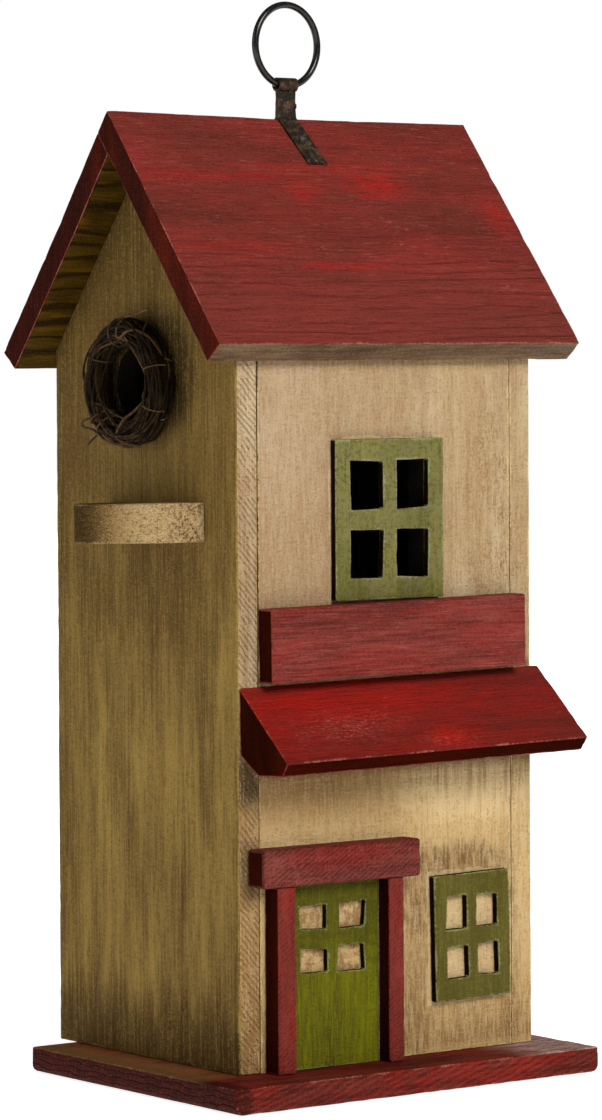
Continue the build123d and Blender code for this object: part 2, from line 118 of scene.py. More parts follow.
LEFT = low("entrance_gable_wall").x
INNER_LEFT = high("entrance_gable_wall").x
RIGHT = high("plain_gable_wall").x
INNER_RIGHT = low("plain_gable_wall").x
FRONT = low("entrance_gable_wall").y
REAR = high("entrance_gable_wall").y
FLOOR = low("entrance_gable_wall").z
APEX = high("entrance_gable_wall").z
RIDGE = high("roof_front_board").z
INNER_FRONT = high("front_wall_panel").y


# --- materials: lengths are in millimetres and colours are screen colours of 0 to 255 ------

ARRIS_REACH = 12.0


def linear(colour):
    """Linear colour of a screen colour."""
    shares = [value / 255 for value in colour]
    return (*(s / 12.92 if s <= 0.04045 else ((s + 0.055) / 1.055) ** 2.4 for s in shares), 1.0)


class Value:
    """What a node works out, with arithmetic that adds further nodes."""

    def __init__(self, graph, socket):
        self.graph = graph
        self.socket = socket

    def __add__(self, other):
        return self.graph.math("ADD", self, other)

    def __sub__(self, other):
        return self.graph.math("SUBTRACT", self, other)

    def __mul__(self, other):
        return self.graph.math("MULTIPLY", self, other)

    def step(self, start, end):
        """0 at start, 1 at end, smooth between."""
        node = self.graph.node("ShaderNodeMapRange", interpolation_type="SMOOTHSTEP")
        self.graph.feed(node.inputs["Value"], self)
        node.inputs["From Min"].default_value = min(start, end)
        node.inputs["From Max"].default_value = max(start, end)
        node.inputs["To Min"].default_value = 0.0 if start < end else 1.0
        node.inputs["To Max"].default_value = 1.0 if start < end else 0.0
        return Value(self.graph, node.outputs[0])


class Graph:
    """Builds the nodes of one material, with its colour so far and its own relief."""

    def __init__(self, name):
        self.material = bpy.data.materials.new(name)
        self.material.use_nodes = True
        self.tree = self.material.node_tree
        self.tree.nodes.clear()
        self.shader = self.node("ShaderNodeBsdfPrincipled")
        output = self.node("ShaderNodeOutputMaterial")
        self.tree.links.new(self.shader.outputs[0], output.inputs["Surface"])
        place = self.node("ShaderNodeTexCoord").outputs["Object"]
        self.place = self.vector("SCALE", Value(self, place), 1000.0)
        axes = self.node("ShaderNodeSeparateXYZ")
        self.feed(axes.inputs[0], self.place)
        self.x, self.y, self.z = (Value(self, socket) for socket in axes.outputs)
        self.colour = None
        self.relief = None

    def node(self, kind, **settings):
        node = self.tree.nodes.new(kind)
        for key, value in settings.items():
            setattr(node, key, value)
        return node

    def feed(self, socket, value):
        """Links a value of a node, or sets the socket to a plain one."""
        if isinstance(value, Value):
            self.tree.links.new(value.socket, socket)
        else:
            socket.default_value = value

    def vector(self, operation, first, second):
        node = self.node("ShaderNodeVectorMath", operation=operation)
        self.feed(node.inputs[0], first)
        self.feed(node.inputs["Scale" if operation == "SCALE" else 1], second)
        return Value(self, node.outputs["Value" if operation in ("LENGTH", "DOT_PRODUCT") else 0])

    def math(self, operation, first, second=0.0):
        node = self.node("ShaderNodeMath", operation=operation)
        self.feed(node.inputs[0], first)
        self.feed(node.inputs[1], second)
        return Value(self, node.outputs[0])

    def noise(self, size, seed, detail=3, roughness=0.55, distortion=0.0):
        """Noise whose features are about size = (x, y, z) millimetres long."""
        stretch = self.node("ShaderNodeMapping")
        self.feed(stretch.inputs["Vector"], self.place)
        stretch.inputs["Scale"].default_value = [1.0 / length for length in size]
        stretch.inputs["Location"].default_value = (seed * 3.7, seed * 1.9, seed * 5.3)
        node = self.node("ShaderNodeTexNoise")
        self.feed(node.inputs["Vector"], Value(self, stretch.outputs[0]))
        node.inputs["Scale"].default_value = 1.0
        node.inputs["Detail"].default_value = detail
        node.inputs["Roughness"].default_value = roughness
        node.inputs["Distortion"].default_value = distortion
        return Value(self, node.outputs["Fac"])

    def mix(self, share, first, second):
        """Mixes two colours, each a screen colour or the output of a node."""
        node = self.node("ShaderNodeMix", data_type="RGBA")
        self.feed(node.inputs["Factor"], share)
        for index, colour in ((6, first), (7, second)):
            self.feed(node.inputs[index], colour if isinstance(colour, Value) else linear(colour))
        return Value(self, node.outputs[2])

    def tint(self, share, colour):
        """Mixes a share of a colour into the colour so far."""
        self.colour = self.mix(share, self.colour, colour)

    def arris(self):
        """Distance to the nearest arris, up to ARRIS_REACH."""
        distance = self.node("ShaderNodeAttribute", attribute_name="arris").outputs["Fac"]
        return Value(self, distance) * ARRIS_REACH

    def blot(self, centre, radii, ragged=0.35, fade=0.6, size=(7, 7, 11)):
        """Ragged soft patch, 1 inside an ellipsoid and 0 outside it; size is that of its ragged edge."""
        share = self.vector("DIVIDE", self.vector("SUBTRACT", self.place, centre), radii)
        distance = self.vector("LENGTH", share, (0, 0, 0))
        wobble = self.noise(size, centre[0] * 0.1 + centre[2] * 0.03, detail=4, roughness=0.65)
        distance = distance + (wobble - 0.5) * (ragged * 4)
        return distance.step(1.0 + fade / 2, 1.0 - fade / 2)

    def wave(self, along, spacing, drift, start, end):
        """Wavy parallel lines, 1 on a line; along is the distance across them."""
        return self.math("SINE", along * (2 * pi / spacing) + drift).step(start, end)

    def rings(self, spacing, seed):
        """Thin wavy growth-ring lines across Z in a board whose grain runs along X."""
        return self.wave(self.z, spacing, self.noise((150, 26, 26), seed, roughness=0.5) * 26.0, 0.15, 1.0)

    def saw_marks(self, direction, spacing, seed):
        """Broken parallel saw marks whose lines lie across a direction, 1 in a groove."""
        along = self.vector("DOT_PRODUCT", self.place, tuple(Vector(direction).normalized()))
        lines = self.wave(along, spacing, self.noise((14, 14, 14), seed) * 11.0, 0.35, 0.95)
        return lines * self.noise((3, 3, 3), seed + 1).step(0.40, 0.56)

    def outline(self, node):
        """Distance outside the rectangle that a facade node covers."""
        a, b = low(node) / MM, high(node) / MM
        sides = []
        for index, along in ((0, self.x), (2, self.z)):
            offset = self.math("ABSOLUTE", along - (a[index] + b[index]) / 2)
            sides.append(offset - (b[index] - a[index]) / 2)
        return self.math("MAXIMUM", *sides)

    def done(self, roughness, bump=None, bump_mm=0.3, metallic=0.0, specular=0.35):
        """Sets the shader's inputs and returns the material."""
        colour = self.colour if isinstance(self.colour, Value) else linear(self.colour)
        self.feed(self.shader.inputs["Base Color"], colour)
        self.shader.inputs["Roughness"].default_value = roughness
        self.shader.inputs["Metallic"].default_value = metallic
        self.shader.inputs["Specular IOR Level"].default_value = specular
        if bump is not None:
            node = self.node("ShaderNodeBump")
            node.inputs["Strength"].default_value = 1.0
            node.inputs["Distance"].default_value = bump_mm * MM
            self.feed(node.inputs["Height"], bump)
            self.feed(self.shader.inputs["Normal"], Value(self, node.outputs[0]))
        return self.material


CREAM = (185, 164, 129)
CREAM_PALE = (208, 180, 132)
CREAM_WARM = (174, 147, 106)
CREAM_PINK = (178, 152, 121)
CREAM_BROWN = (126, 89, 43)
CREAM_GOLD = (190, 158, 104)
EDGE_GOLD = (168, 130, 66)
# gold of the painted light on the ledge's rim
GOLD = (212, 172, 112)
TAN = (156, 127, 94)
UMBER = (88, 58, 26)
PANE_BROWN = (112, 76, 40)
OLIVE_CREAM = (153, 126, 64)
OLIVE_BROWN = (118, 93, 47)
DARK_BROWN = (62, 40, 14)
# near black: dark seams, and painted shadow and shade
BLACK_SEAM_AND_SHADE = (22, 15, 9)
RED = (134, 22, 14)
BRIGHT_RED = (172, 18, 10)
BRICK = (120, 47, 36)
ROOF_RED = (133, 42, 33)
EAVE_RED = (118, 50, 41)
UMBER_RED = (92, 36, 24)
MAROON = (72, 20, 13)
NIGHT_MAROON = (34, 9, 3)
END_BROWN = (30, 14, 6)
END_NIGHT = (30, 13, 8)
PINK = (186, 116, 98)
RUBBED_PINK = (186, 158, 146)
GREEN = (106, 102, 42)
LIME = (100, 100, 8)
YELLOW_GREEN = (120, 116, 8)
MOSS = (70, 66, 16)
DARK_MOSS = (52, 44, 12)
BROWN_GREEN = (74, 62, 10)
GREY_GREEN = (104, 92, 66)
SAGE = (134, 128, 82)
NIGHT_GREEN = (26, 17, 5)
PALE_GREEN = (160, 162, 116)
STRIPE_GOLD = (112, 76, 12)
STRIPE_BLACK = (24, 16, 6)
BARE_WOOD = (132, 108, 82)
BARE_DARK = (84, 62, 44)
BARE_WARM = (138, 104, 58)
LEDGE_SHADE = (70, 53, 26)
# painted highlight on the ledge's raised fibres
LEDGE_FIBRE_HIGHLIGHT = (240, 212, 156)
BARK_LIT = (92, 68, 44)
BARK_NIGHT = (9, 7, 4)

# fibres, brush marks across them, streaks, bands, chips and mottling: (across, along) the grain
FIBRE = (1.1, 15)
WEAVE = (8, 1.1)
STREAK = (1.8, 60)
BAND = (6, 200)
DASH = (1.0, 6)
MOTTLE = (20, 80)

MATERIAL = {}


def painted(name, grain, light, dark, glaze, worn, glaze_share=0.5, streaks=0.4, worn_share=0.6, reach=0.6,
            rough=0.7, specular=0.12, seed=0, extra=None, bump_mm=0.9, fleck_share=0.0,
            fibre_size=FIBRE, weave_share=0.12):
    """Rubbed paint over wood: mottled colour, glaze caught in the grain, worn arrises, pink flecks."""
    g = Graph(name)

    def grained(size, number, roughness, **how):
        stretched = [size[1] if axis == grain else size[0] for axis in "XYZ"]
        return g.noise(stretched, seed + number, roughness=roughness, **how)

    fibre = grained(fibre_size, 0, 0.7)
    pits = g.noise((1.0, 1.0, 1.0), seed + 3, detail=2, roughness=0.6)
    weave = grained(WEAVE, 8, 0.7)
    g.colour = g.mix(grained(MOTTLE, 2, 0.6, detail=4).step(0.32, 0.68), light, dark)
    g.tint(grained(BAND, 1, 0.55, distortion=0.3).step(0.42, 0.72) * streaks, glaze)
    if extra:
        extra(g)
    grainy = fibre * (0.62 - weave_share) + pits * 0.38 + weave * weave_share
    g.tint(grainy.step(0.49, 0.42) * 0.4, light)
    g.tint(grainy.step(0.50, 0.60) * glaze_share, glaze)
    g.tint(grained(STREAK, 7, 0.6).step(0.52, 0.70) * (glaze_share * 0.5), glaze)
    if fleck_share:
        chips = grained(DASH, 5, 0.7)
        patch = g.noise((34, 24, 24), seed + 6, roughness=0.6)
        g.tint(chips.step(0.60, 0.68) * patch.step(0.50, 0.66) * fleck_share, PINK)
    slow = g.noise((13, 13, 13), seed + 4, detail=2)
    edge = g.arris() + (pits - 0.5) * 2.2 + (slow - 0.42) * 3.0
    g.tint(edge.step(reach + 0.4, reach - 0.4) * worn_share, worn)
    height = fibre * -0.9 + pits * -0.7 + weave * -0.4
    if g.relief is not None:
        height = height + g.relief
    MATERIAL[name] = g.done(rough, height, bump_mm, specular=specular)


def plain_metal(name, light, dark, rough, metallic=1.0, seed=0, pale=None, bump_mm=0.25, specular=0.5):
    """Worked metal, rubbed lighter in places, with a few pale specks."""
    g = Graph(name)
    patches = g.noise((3, 3, 3), seed, detail=5, roughness=0.65)
    fine = g.noise((0.7, 0.7, 0.7), seed + 1, roughness=0.6)
    g.colour = g.mix(patches.step(0.42, 0.66), dark, light)
    if pale:
        g.tint(fine.step(0.62, 0.68) * patches.step(0.46, 0.58) * 0.8, pale)
    MATERIAL[name] = g.done(rough, patches + fine * 0.5, bump_mm, metallic, specular)


def wall_seam(g):
    """Dark gap between the gable's edge and the front wall, above the awning."""
    seam = g.math("ABSOLUTE", g.x - INNER_LEFT / MM).step(0.6, 0.25)
    g.tint(seam * g.z.step(150, 200) * 0.9, BLACK_SEAM_AND_SHADE)


def facade_stains_and_shade(g):
    """Brown smudges and drips about the awning, the door, the windows and the bottom; painted shade and light
    round the awning and eave.
    """
    x, z = g.x, g.z
    smear = g.noise((1.1, 1.1, 9), 12, detail=4, roughness=0.7).step(0.40, 0.62)
    pores = g.noise((0.7, 0.7, 1.6), 16, detail=4, roughness=0.75).step(0.44, 0.62)
    patchy = g.noise((9, 9, 14), 13, detail=4).step(0.36, 0.62)
    g.tint(x.step(50, -30) * z.step(150, 200) * 0.85, TAN)
    g.tint(x.step(10, -50) * z.step(215, 260) * 0.6, CREAM_PINK)
    g.tint(g.noise((26, 26, 60), 15).step(0.48, 0.62) * 0.4, TAN)
    g.tint(z.step(150, 130) * 0.8, CREAM_GOLD)
    # painted shadow of the awning on the wall under its left part
    g.tint(x.step(34, -14) * z.step(100, 120) * z.step(168, 150) * 0.52, CREAM_BROWN)
    # painted light: a pale lit patch beside the awning's shadow
    g.tint(g.blot((44, -64, 119), (34, 9, 13), fade=0.9, size=(9, 9, 5)) * 0.85, CREAM_PALE)
    runs = g.noise((2.2, 2.2, 70), 11, detail=4, roughness=0.7)
    g.tint((z + runs * 90.0).step(164, 184) * z.step(168, 150) * 0.6, CREAM_BROWN)
    # painted shade in a ragged band round the awning, darkest next to it
    g.tint((g.outline("awning") + runs * 3.0).step(7.0, 1.0) * 0.75, UMBER)
    g.tint(z.step(66, 10) * (smear * 0.75 + 0.3) * 0.75, CREAM_BROWN)
    g.tint(z.step(15, 11.5) * x.step(-2, 4) * 0.7, CREAM_GOLD)
    beside = g.blot((56, -64, 225), (18, 9, 46), fade=1.3)
    g.tint(beside * (pores * patchy + 0.15) * 0.8, CREAM_BROWN)
    # painted shade along the top of the wall, under the eave
    g.tint(z.step(288, 299) * (smear + 0.3) * 0.6, CREAM_BROWN)
    for centre, radii, share in (((34, -64, 90), (24, 9, 6), 0.9), ((14, -64, 78), (9, 9, 16), 0.7),
                                 ((14, -64, 40), (7, 9, 36), 0.6), ((63, -64, 50), (4, 9, 46), 0.5)):
        patch = g.blot(centre, radii, ragged=0.6, fade=1.2, size=(2.5, 2.5, 7))
        g.tint(patch * (smear * 0.6 + 0.4) * share, UMBER)
    wall_seam(g)
    for node in ("false_door", "lower_window_frame"):
        smudges = g.noise((5, 5, 5), 54, detail=4, roughness=0.7).step(0.44, 0.56)
        g.tint(g.outline(node).step(0, -2) * (smudges * 0.8 + 0.1) * 0.75, PANE_BROWN)
    for node in ("upper_window_frame", "lower_window_frame", "door_lintel"):
        g.tint((g.outline(node) + (patchy - 0.5) * 1.2).step(1.1, 0.3) * 0.65, CREAM_PALE)


def gable_stains_and_shade(g):
    """Soft darker patches under the roof and along the bottom; painted shadow under the ledge and painted
    shade round the ring.
    """
    y, z = g.y, g.z
    smudge = g.noise((9, 9, 60), 14, detail=4, roughness=0.6, distortion=0.4)
    tongues = g.noise((4, 4, 70), 53, detail=4, roughness=0.65) * 60.0
    g.tint(smudge.step(0.46, 0.62) * 0.25, DARK_BROWN)
    g.tint(z.step(150, 300) * 0.85, OLIVE_BROWN)
    g.tint(z.step(290, 350) * 0.45, DARK_BROWN)
    g.tint(y.step(10, 60) * z.step(180, 280) * 0.35, DARK_BROWN)
    g.tint((z - tongues).step(18, -6) * 0.7, DARK_BROWN)
    g.tint(y.step(-46, -64) * z.step(140, 40) * 0.35, DARK_BROWN)
    g.tint(y.step(44, 57) * 0.25, DARK_BROWN)
    # painted shadow under the ledge
    g.tint(g.blot((-75, -14, 205), (9, 46, 26), fade=1.4) * 0.4, DARK_BROWN)
    # painted shadow of the wreath on the wall to its right
    g.tint(g.blot((-75, -13, 290), (9, 23, 26), ragged=0.12) * 0.75, BLACK_SEAM_AND_SHADE)
    # painted shade on the wall under the wreath, round the hole
    g.tint(g.blot((-75, 3, 286), (9, 22, 22), ragged=0.1, fade=0.2) * 0.92, BLACK_SEAM_AND_SHADE)


def strip_marks_and_shade(g):
    """Slanting saw marks on the edges of the gable boards, with painted shadows under the awning's end and
    beside the lintel.
    """
    marks = g.saw_marks((1.0, 0.0, 0.9), 2.0, 30)
    g.relief = marks * -0.9
    g.tint(g.z.step(175, 150) * 0.45, CREAM_BROWN)
    g.tint(g.z.step(60, 10) * 0.45, UMBER)
    g.tint(g.z.step(150, 125) * 0.3, EDGE_GOLD)
    # painted shadows: under the awning's left end and beside the lintel
    for centre, radii, share in (((-72, -64, 128), (12, 9, 9), 0.8), ((-72, -64, 92), (5, 9, 12), 0.6)):
        g.tint(g.blot(centre, radii, fade=1.2, size=(2, 2, 6)) * share, BLACK_SEAM_AND_SHADE)
    g.tint(marks * 0.3, CREAM_BROWN)
    wall_seam(g)


def roof_bands(g):
    """Grain lines on the lower half and brighter rubbed patches on the front slope."""
    faint = g.noise((60, 8, 8), 52).step(0.38, 0.60)
    lines = g.rings(4.6, 31) * g.z.step(346, 330) * (faint * 0.8 + 0.2)
    g.relief = lines * -0.6
    g.tint(lines * 0.3, MAROON)
    g.tint(g.noise((9, 0.8, 0.8), 46, detail=4, roughness=0.75).step(0.56, 0.68) * 0.28, PINK)
    front = g.y.step(4, 0)
    g.tint(g.z.step(345, 318) * 0.5, EAVE_RED)
    g.tint(g.blot((-46, -28, 356), (46, 20, 12), fade=1.3) * 0.4, UMBER_RED)
    g.tint(g.blot((70, -26, 364), (26, 20, 12), fade=1.3) * 0.35, UMBER_RED)
    for centre, radii, share in (((28, -23, 367), (13, 7, 5), 0.6), ((-12, -26, 364), (6, 6, 4.5), 0.4),
                                 ((-52, -20, 370), (34, 4, 2.0), 0.3), ((10, -17, 375), (40, 3, 1.6), 0.25),
                                 ((-14, -50, 333), (22, 4, 1.6), 0.4), ((-60, -44, 341), (34, 4, 2.5), 0.2),
                                 ((84, -34, 356), (7, 9, 9), 0.4)):
        patch = g.blot(centre, radii, ragged=0.9, fade=1.6, size=(6, 1.6, 1.6))
        g.tint(patch * front * share, BRIGHT_RED)


def under_stripes(g):
    """Yellow and dark stripes along the underside of the roof."""
    g.tint(g.noise((24, 3, 3), 49).step(0.50, 0.64) * 0.5, STRIPE_GOLD)
    g.tint(g.rings(7, 33) * 0.85, STRIPE_BLACK)


def end_shade(g):
    """Brown specks on the ends of the roof boards, with painted shade on the rear board's ends."""
    g.tint(g.noise((1.2, 1.2, 1.2), 50, detail=4, roughness=0.7).step(0.46, 0.60) * 0.5, END_BROWN)
    g.tint(g.y.step(0, 24) * 0.6, END_NIGHT)


def sign_scratches(g):
    """Fine pale scratches that run along the sign, over brighter patches."""
    scratch = g.noise((12, 0.6, 0.6), 45, detail=4, roughness=0.75)
    g.relief = scratch * -0.8
    g.tint(g.noise((30, 5, 5), 48).step(0.46, 0.62) * 0.4, RED)
    g.tint(scratch.step(0.52, 0.70) * 0.36, PINK)


def lintel_marks_and_shade(g):
    """Slanting saw marks across the lintel, and painted shade on its left end."""
    marks = g.saw_marks((-0.52, 0.0, 0.86), 1.7, 34)
    g.relief = marks * -0.7
    g.tint(g.blot((-30, -75, 97), (26, 9, 5), fade=1.2) * 0.5, RED)
    g.tint(g.noise((0.7, 0.7, 6), 47, detail=4, roughness=0.75).step(0.52, 0.66) * 0.12, PINK)
    # painted shade at the left end
    g.tint(g.x.step(-69.6, -70.2) * 0.7, NIGHT_MAROON)
    g.tint(marks * 0.35, MAROON)


def post_marks(g):
    """Fine slanting saw marks and brighter blotches on the posts."""
    marks = g.saw_marks((-0.6, 0.0, 0.8), 1.7, 35)
    g.relief = marks * -0.35
    g.tint(g.noise((6, 6, 18), 36, detail=4, roughness=0.65).step(0.50, 0.66) * 0.45, RED)
    g.tint(g.x.step(-30, -10) * 0.35, MAROON)
    g.tint(marks * 0.15, MAROON)


def awning_scuffs_and_shade(g):
    """Bright red top with scuffed patches, and painted shade on the lower edge."""
    top = g.blot((-25, -74, 157), (56, 12, 9), ragged=0.7, fade=1.6, size=(16, 3, 3))
    g.tint(top * 0.5, BRIGHT_RED)
    spot = g.blot((11, -91, 143), (9, 6, 4), ragged=1.0, fade=1.6, size=(3, 1.4, 1.4))
    g.tint(spot * 0.6, BRIGHT_RED)
    scuff = g.noise((1.6, 0.8, 0.8), 37, detail=4, roughness=0.75)
    for centre, radii, share in (((-34, -84, 149), (20, 7, 6), 0.5), ((10, -92, 142), (16, 6, 3), 0.3)):
        patch = g.blot(centre, radii, ragged=0.8, fade=1.8, size=(8, 3, 3))
        g.tint(patch * scuff.step(0.48, 0.66) * share, PINK)
    g.tint(g.x.step(40, 74) * g.z.step(156, 144) * 0.45, UMBER_RED)
    # painted shade at the lower front edge
    g.tint(g.y.step(-88, -92) * g.z.step(140, 137) * 0.7, MAROON)


def door_streaks(g):
    """Yellow-green streaks on the lower part of the door and brown ones on its upper part."""
    streak = g.noise((0.8, 0.8, 12), 38, detail=4, roughness=0.7).step(0.42, 0.62)
    g.tint(streak * g.z.step(62, 40) * 0.5, YELLOW_GREEN)
    dark = g.noise((7, 7, 4), 55, detail=4, roughness=0.65).step(0.46, 0.60)
    g.tint(dark * g.z.step(40, 60) * 0.5, DARK_MOSS)
    g.tint(g.z.step(56, 76) * 0.8, MOSS)


def window_mottle(g):
    """Greyer upper frame, browner lower one, moss spots on both."""
    patch = g.noise((10, 10, 8), 39, detail=4).step(0.46, 0.62)
    g.tint(patch * 0.5 * g.z.step(150, 200), GREY_GREEN)
    g.tint(g.z.step(180, 240) * 0.42, SAGE)
    g.tint(g.noise((2.6, 2.6, 1.6), 51, detail=4, roughness=0.7).step(0.50, 0.62) * 0.5, MOSS)
    g.tint(g.z.step(100, 80) * 0.6, BROWN_GREEN)


def base_grain_and_shade(g):
    """Slanting grain on the base's front edge, rubbed patches at both ends of its top, and painted shade at
    its left end.
    """
    x, z = g.x, g.z
    drift = g.noise((40, 12, 12), 40) * 14.0
    lines = g.wave(z - x * 0.35, 2.6, drift, 0.1, 0.95) * z.step(10.2, 9.4)
    on_top = z.step(9.6, 10.2)
    g.relief = lines * -0.7
    g.tint(g.noise((30, 12, 12), 41).step(0.46, 0.60) * 0.5, RED)
    # painted shade at the left end
    g.tint(x.step(-86, -91) * 0.8, NIGHT_MAROON)
    ragged = x + g.noise((9, 3, 3), 57, detail=4, roughness=0.7) * 34.0
    g.tint(ragged.step(-50, -66) * on_top * g.y.step(-74, -56) * 0.5, BARE_WARM)
    rubbed = g.noise((14, 2, 2), 43, detail=4, roughness=0.7).step(0.40, 0.58)
    g.tint(g.math("MINIMUM", x.step(40, 76) * on_top * (rubbed + 0.4), 0.95), RUBBED_PINK)
    g.tint(lines * 0.32, MAROON)


def ledge_rim(g):
    """Coarse end grain with pale raised fibres and dark pits; painted light toward the facade and painted
    shade away from it.
    """
    y = g.y
    coarse = g.noise((0.9, 0.9, 0.7), 42, roughness=0.7)
    fibres = g.noise((7, 7, 0.8), 44, roughness=0.65)
    toward = y.step(6, -38)
    g.relief = coarse * -2.0 + fibres * -0.8
    # painted shade on the rim, fading out toward the facade
    g.tint(y.step(-34, -2) * 0.92, LEDGE_SHADE)
    # painted light: gold, and pale cream at the far end, on the rim toward the facade
    gold = (toward + (coarse - 0.5) * 3.0).step(0.45, 1.0)
    g.tint(gold * 0.95, GOLD)
    g.tint(gold * y.step(-20, -36) * 0.7, CREAM_PALE)
    g.tint(fibres.step(0.48, 0.64) * 0.3, CREAM_BROWN)
    # painted highlights on the raised fibres of the lit side
    g.tint(coarse.step(0.44, 0.36) * toward * 0.75, LEDGE_FIBRE_HIGHLIGHT)
    g.tint(coarse.step(0.54, 0.62) * (toward * 0.6 + 0.2) * 0.9, UMBER)
    crumbs = g.noise((1.6, 1.6, 1.6), 58, detail=4, roughness=0.7).step(0.50, 0.60)
    g.tint(crumbs * y.step(-38, -42) * 0.8, DARK_BROWN)


def vine_shade(g):
    """Painted shade: bark almost black toward the facade and next to the wall; painted light on the bark at
    the bottom.
    """
    lit = g.z.step(286, 264) * g.noise((3, 3, 3), 56).step(0.44, 0.56)
    g.tint(lit * 0.6, BARK_LIT)
    g.tint(g.y.step(0, -16) * 0.5, BARK_NIGHT)
    g.tint(g.x.step(LEFT / MM - 8, LEFT / MM - 2) * 0.7, BARK_NIGHT)


def make_materials():
    """Fills MATERIAL. After a paint's name and grain come light, dark, glaze and worn colours."""
    painted("facade_cream", "Z", CREAM, CREAM_WARM, (134, 98, 54), CREAM_PALE, 0.48, 0.3,
            seed=1, extra=facade_stains_and_shade, fibre_size=(1.0, 8), weave_share=0.2)
    painted("gable_cream", "Z", OLIVE_CREAM, OLIVE_BROWN, DARK_BROWN, OLIVE_CREAM, 0.4, 0.35,
            seed=2, extra=gable_stains_and_shade, specular=0.05, fibre_size=(1.0, 30), weave_share=0.06)
    painted("wall_edge", "Z", CREAM, TAN, CREAM_BROWN, CREAM_GOLD, 0.45, seed=3, extra=strip_marks_and_shade)
    # inside faces near black: painted shade inside the box
    painted("inside_painted_shade", "Z", BLACK_SEAM_AND_SHADE, BLACK_SEAM_AND_SHADE, BLACK_SEAM_AND_SHADE, BLACK_SEAM_AND_SHADE, seed=4)
    painted("roof_red", "X", ROOF_RED, (104, 40, 30), MAROON, PINK, 0.42, 0.3, 0.45, 0.35,
            rough=0.55, seed=5, extra=roof_bands, fleck_share=0.35)
    painted("roof_end", "Z", (88, 26, 12), (50, 16, 8), NIGHT_MAROON, NIGHT_MAROON,
            specular=0.02, seed=6, extra=end_shade)
    # underside: grain stripes, and a paint darker than the walls' olive as painted shade under the roof
    painted("roof_under", "X", (82, 62, 10), (54, 38, 10), DARK_BROWN, BLACK_SEAM_AND_SHADE, 0.4, 0.5, 0.8,
            specular=0.02, seed=7, extra=under_stripes)
    painted("eave_wood", "X", BARE_WOOD, BARE_DARK, DARK_BROWN, BARE_WOOD, seed=8)
    painted("sign_red", "X", (146, 62, 53), (114, 44, 36), MAROON, PINK, 0.6, 0.4, 0.3, 0.2,
            rough=0.6, seed=9, extra=sign_scratches, fibre_size=(0.9, 34), weave_share=0.03)
    painted("awning_red", "X", RED, (110, 32, 24), MAROON, PINK, 0.4, 0.4, 0.4, 0.3,
            rough=0.5, seed=10, extra=awning_scuffs_and_shade, fleck_share=0.25, specular=0.08)
    # painted shade: darkened copy of the awning's red for its underside and lower front face
    painted("awning_under_shade", "X", (56, 12, 4), (36, 9, 3), NIGHT_MAROON, RED, 0.5, 0.4, 0.3, 0.3,
            seed=22, specular=0.0)
    # painted shade: near-black copy of the trim paint for ends and undersides
    painted("trim_side_shade", "Z", (54, 16, 6), NIGHT_MAROON, NIGHT_MAROON, MAROON, 0.4, 0.4, 0.3,
            seed=11, specular=0.0)
    painted("lintel_red", "X", (124, 59, 49), (94, 36, 30), MAROON, BRICK, 0.55, seed=12, extra=lintel_marks_and_shade)
    painted("post_red", "Z", (130, 48, 38), (108, 38, 28), MAROON, BRICK, 0.4, seed=13, extra=post_marks)
    painted("door_green", "Z", LIME, MOSS, MOSS, PALE_GREEN, 0.6, 0.5, 0.3,
            specular=0.05, seed=14, extra=door_streaks)
    painted("window_green", "Z", GREEN, MOSS, MOSS, PALE_GREEN, 0.5, 0.3, 0.4, seed=15, extra=window_mottle)
    # painted shade: near-black copy of the green for board edges and pane sides
    painted("green_side_shade", "Z", NIGHT_GREEN, NIGHT_GREEN, NIGHT_GREEN, MOSS, 0.5, 0.4, 0.3,
            seed=16, specular=0.0)
    painted("base_red", "X", BRICK, MAROON, NIGHT_MAROON, PINK, 0.5, 0.4, 0.4, 0.4,
            seed=17, extra=base_grain_and_shade, specular=0.06)
    painted("ledge_wood", "Y", OLIVE_BROWN, (96, 72, 32), DARK_BROWN, CREAM,
            seed=18, extra=ledge_rim, bump_mm=0.8, rough=0.9, specular=0.02)
    painted("vine_bark", "Z", (56, 40, 19), (20, 14, 5), (8, 6, 2), PINK,
            worn_share=0.0, rough=0.6, specular=0.06, seed=19, extra=vine_shade)
    painted("vine_pale", "Z", (106, 80, 48), (66, 47, 25), (26, 18, 8), PINK,
            worn_share=0.0, rough=0.6, specular=0.08, seed=20)
    painted("nail_paint", "Z", (110, 86, 42), (92, 70, 34), DARK_BROWN, (98, 76, 38), seed=23, specular=0.05)
    painted("button_wood", "Z", BARE_WOOD, BARE_DARK, DARK_BROWN, BARE_WOOD, seed=21)
    plain_metal("dark_metal", (74, 54, 36), (28, 22, 14), 0.5, 0.0, pale=(150, 130, 108), specular=0.15)
    plain_metal("ring_metal", (34, 27, 20), (10, 8, 6), 0.22, 0.2, bump_mm=0.03)
    plain_metal("steel", (170, 166, 158), (96, 92, 88), 0.38, seed=4)


make_materials()


# --- meshes -----------------------------------------------------------------

SHARP_ANGLE = radians(28)
SMOOTH_ANGLE = radians(38)
BESIDE_FACE = 1.6 * MM
CHIP_REACH = 2.6 * MM


def prism(outline, axis, start, end):
    """Solid with an outline of 2-D points in the other two axes, running along an axis."""
    solid = bmesh.new()
    ends = []
    for depth in (start, end):
        ring = []
        for pair in outline:
            point = list(pair)
            point.insert(axis, depth)
            ring.append(solid.verts.new(point))
        ends.append(ring)
    solid.faces.new(ends[0])
    solid.faces.new(reversed(ends[1]))
    for i in range(len(outline)):
        j = (i + 1) % len(outline)
        solid.faces.new((ends[0][j], ends[0][i], ends[1][i], ends[1][j]))
    bmesh.ops.recalc_face_normals(solid, faces=solid.faces[:])
    return solid


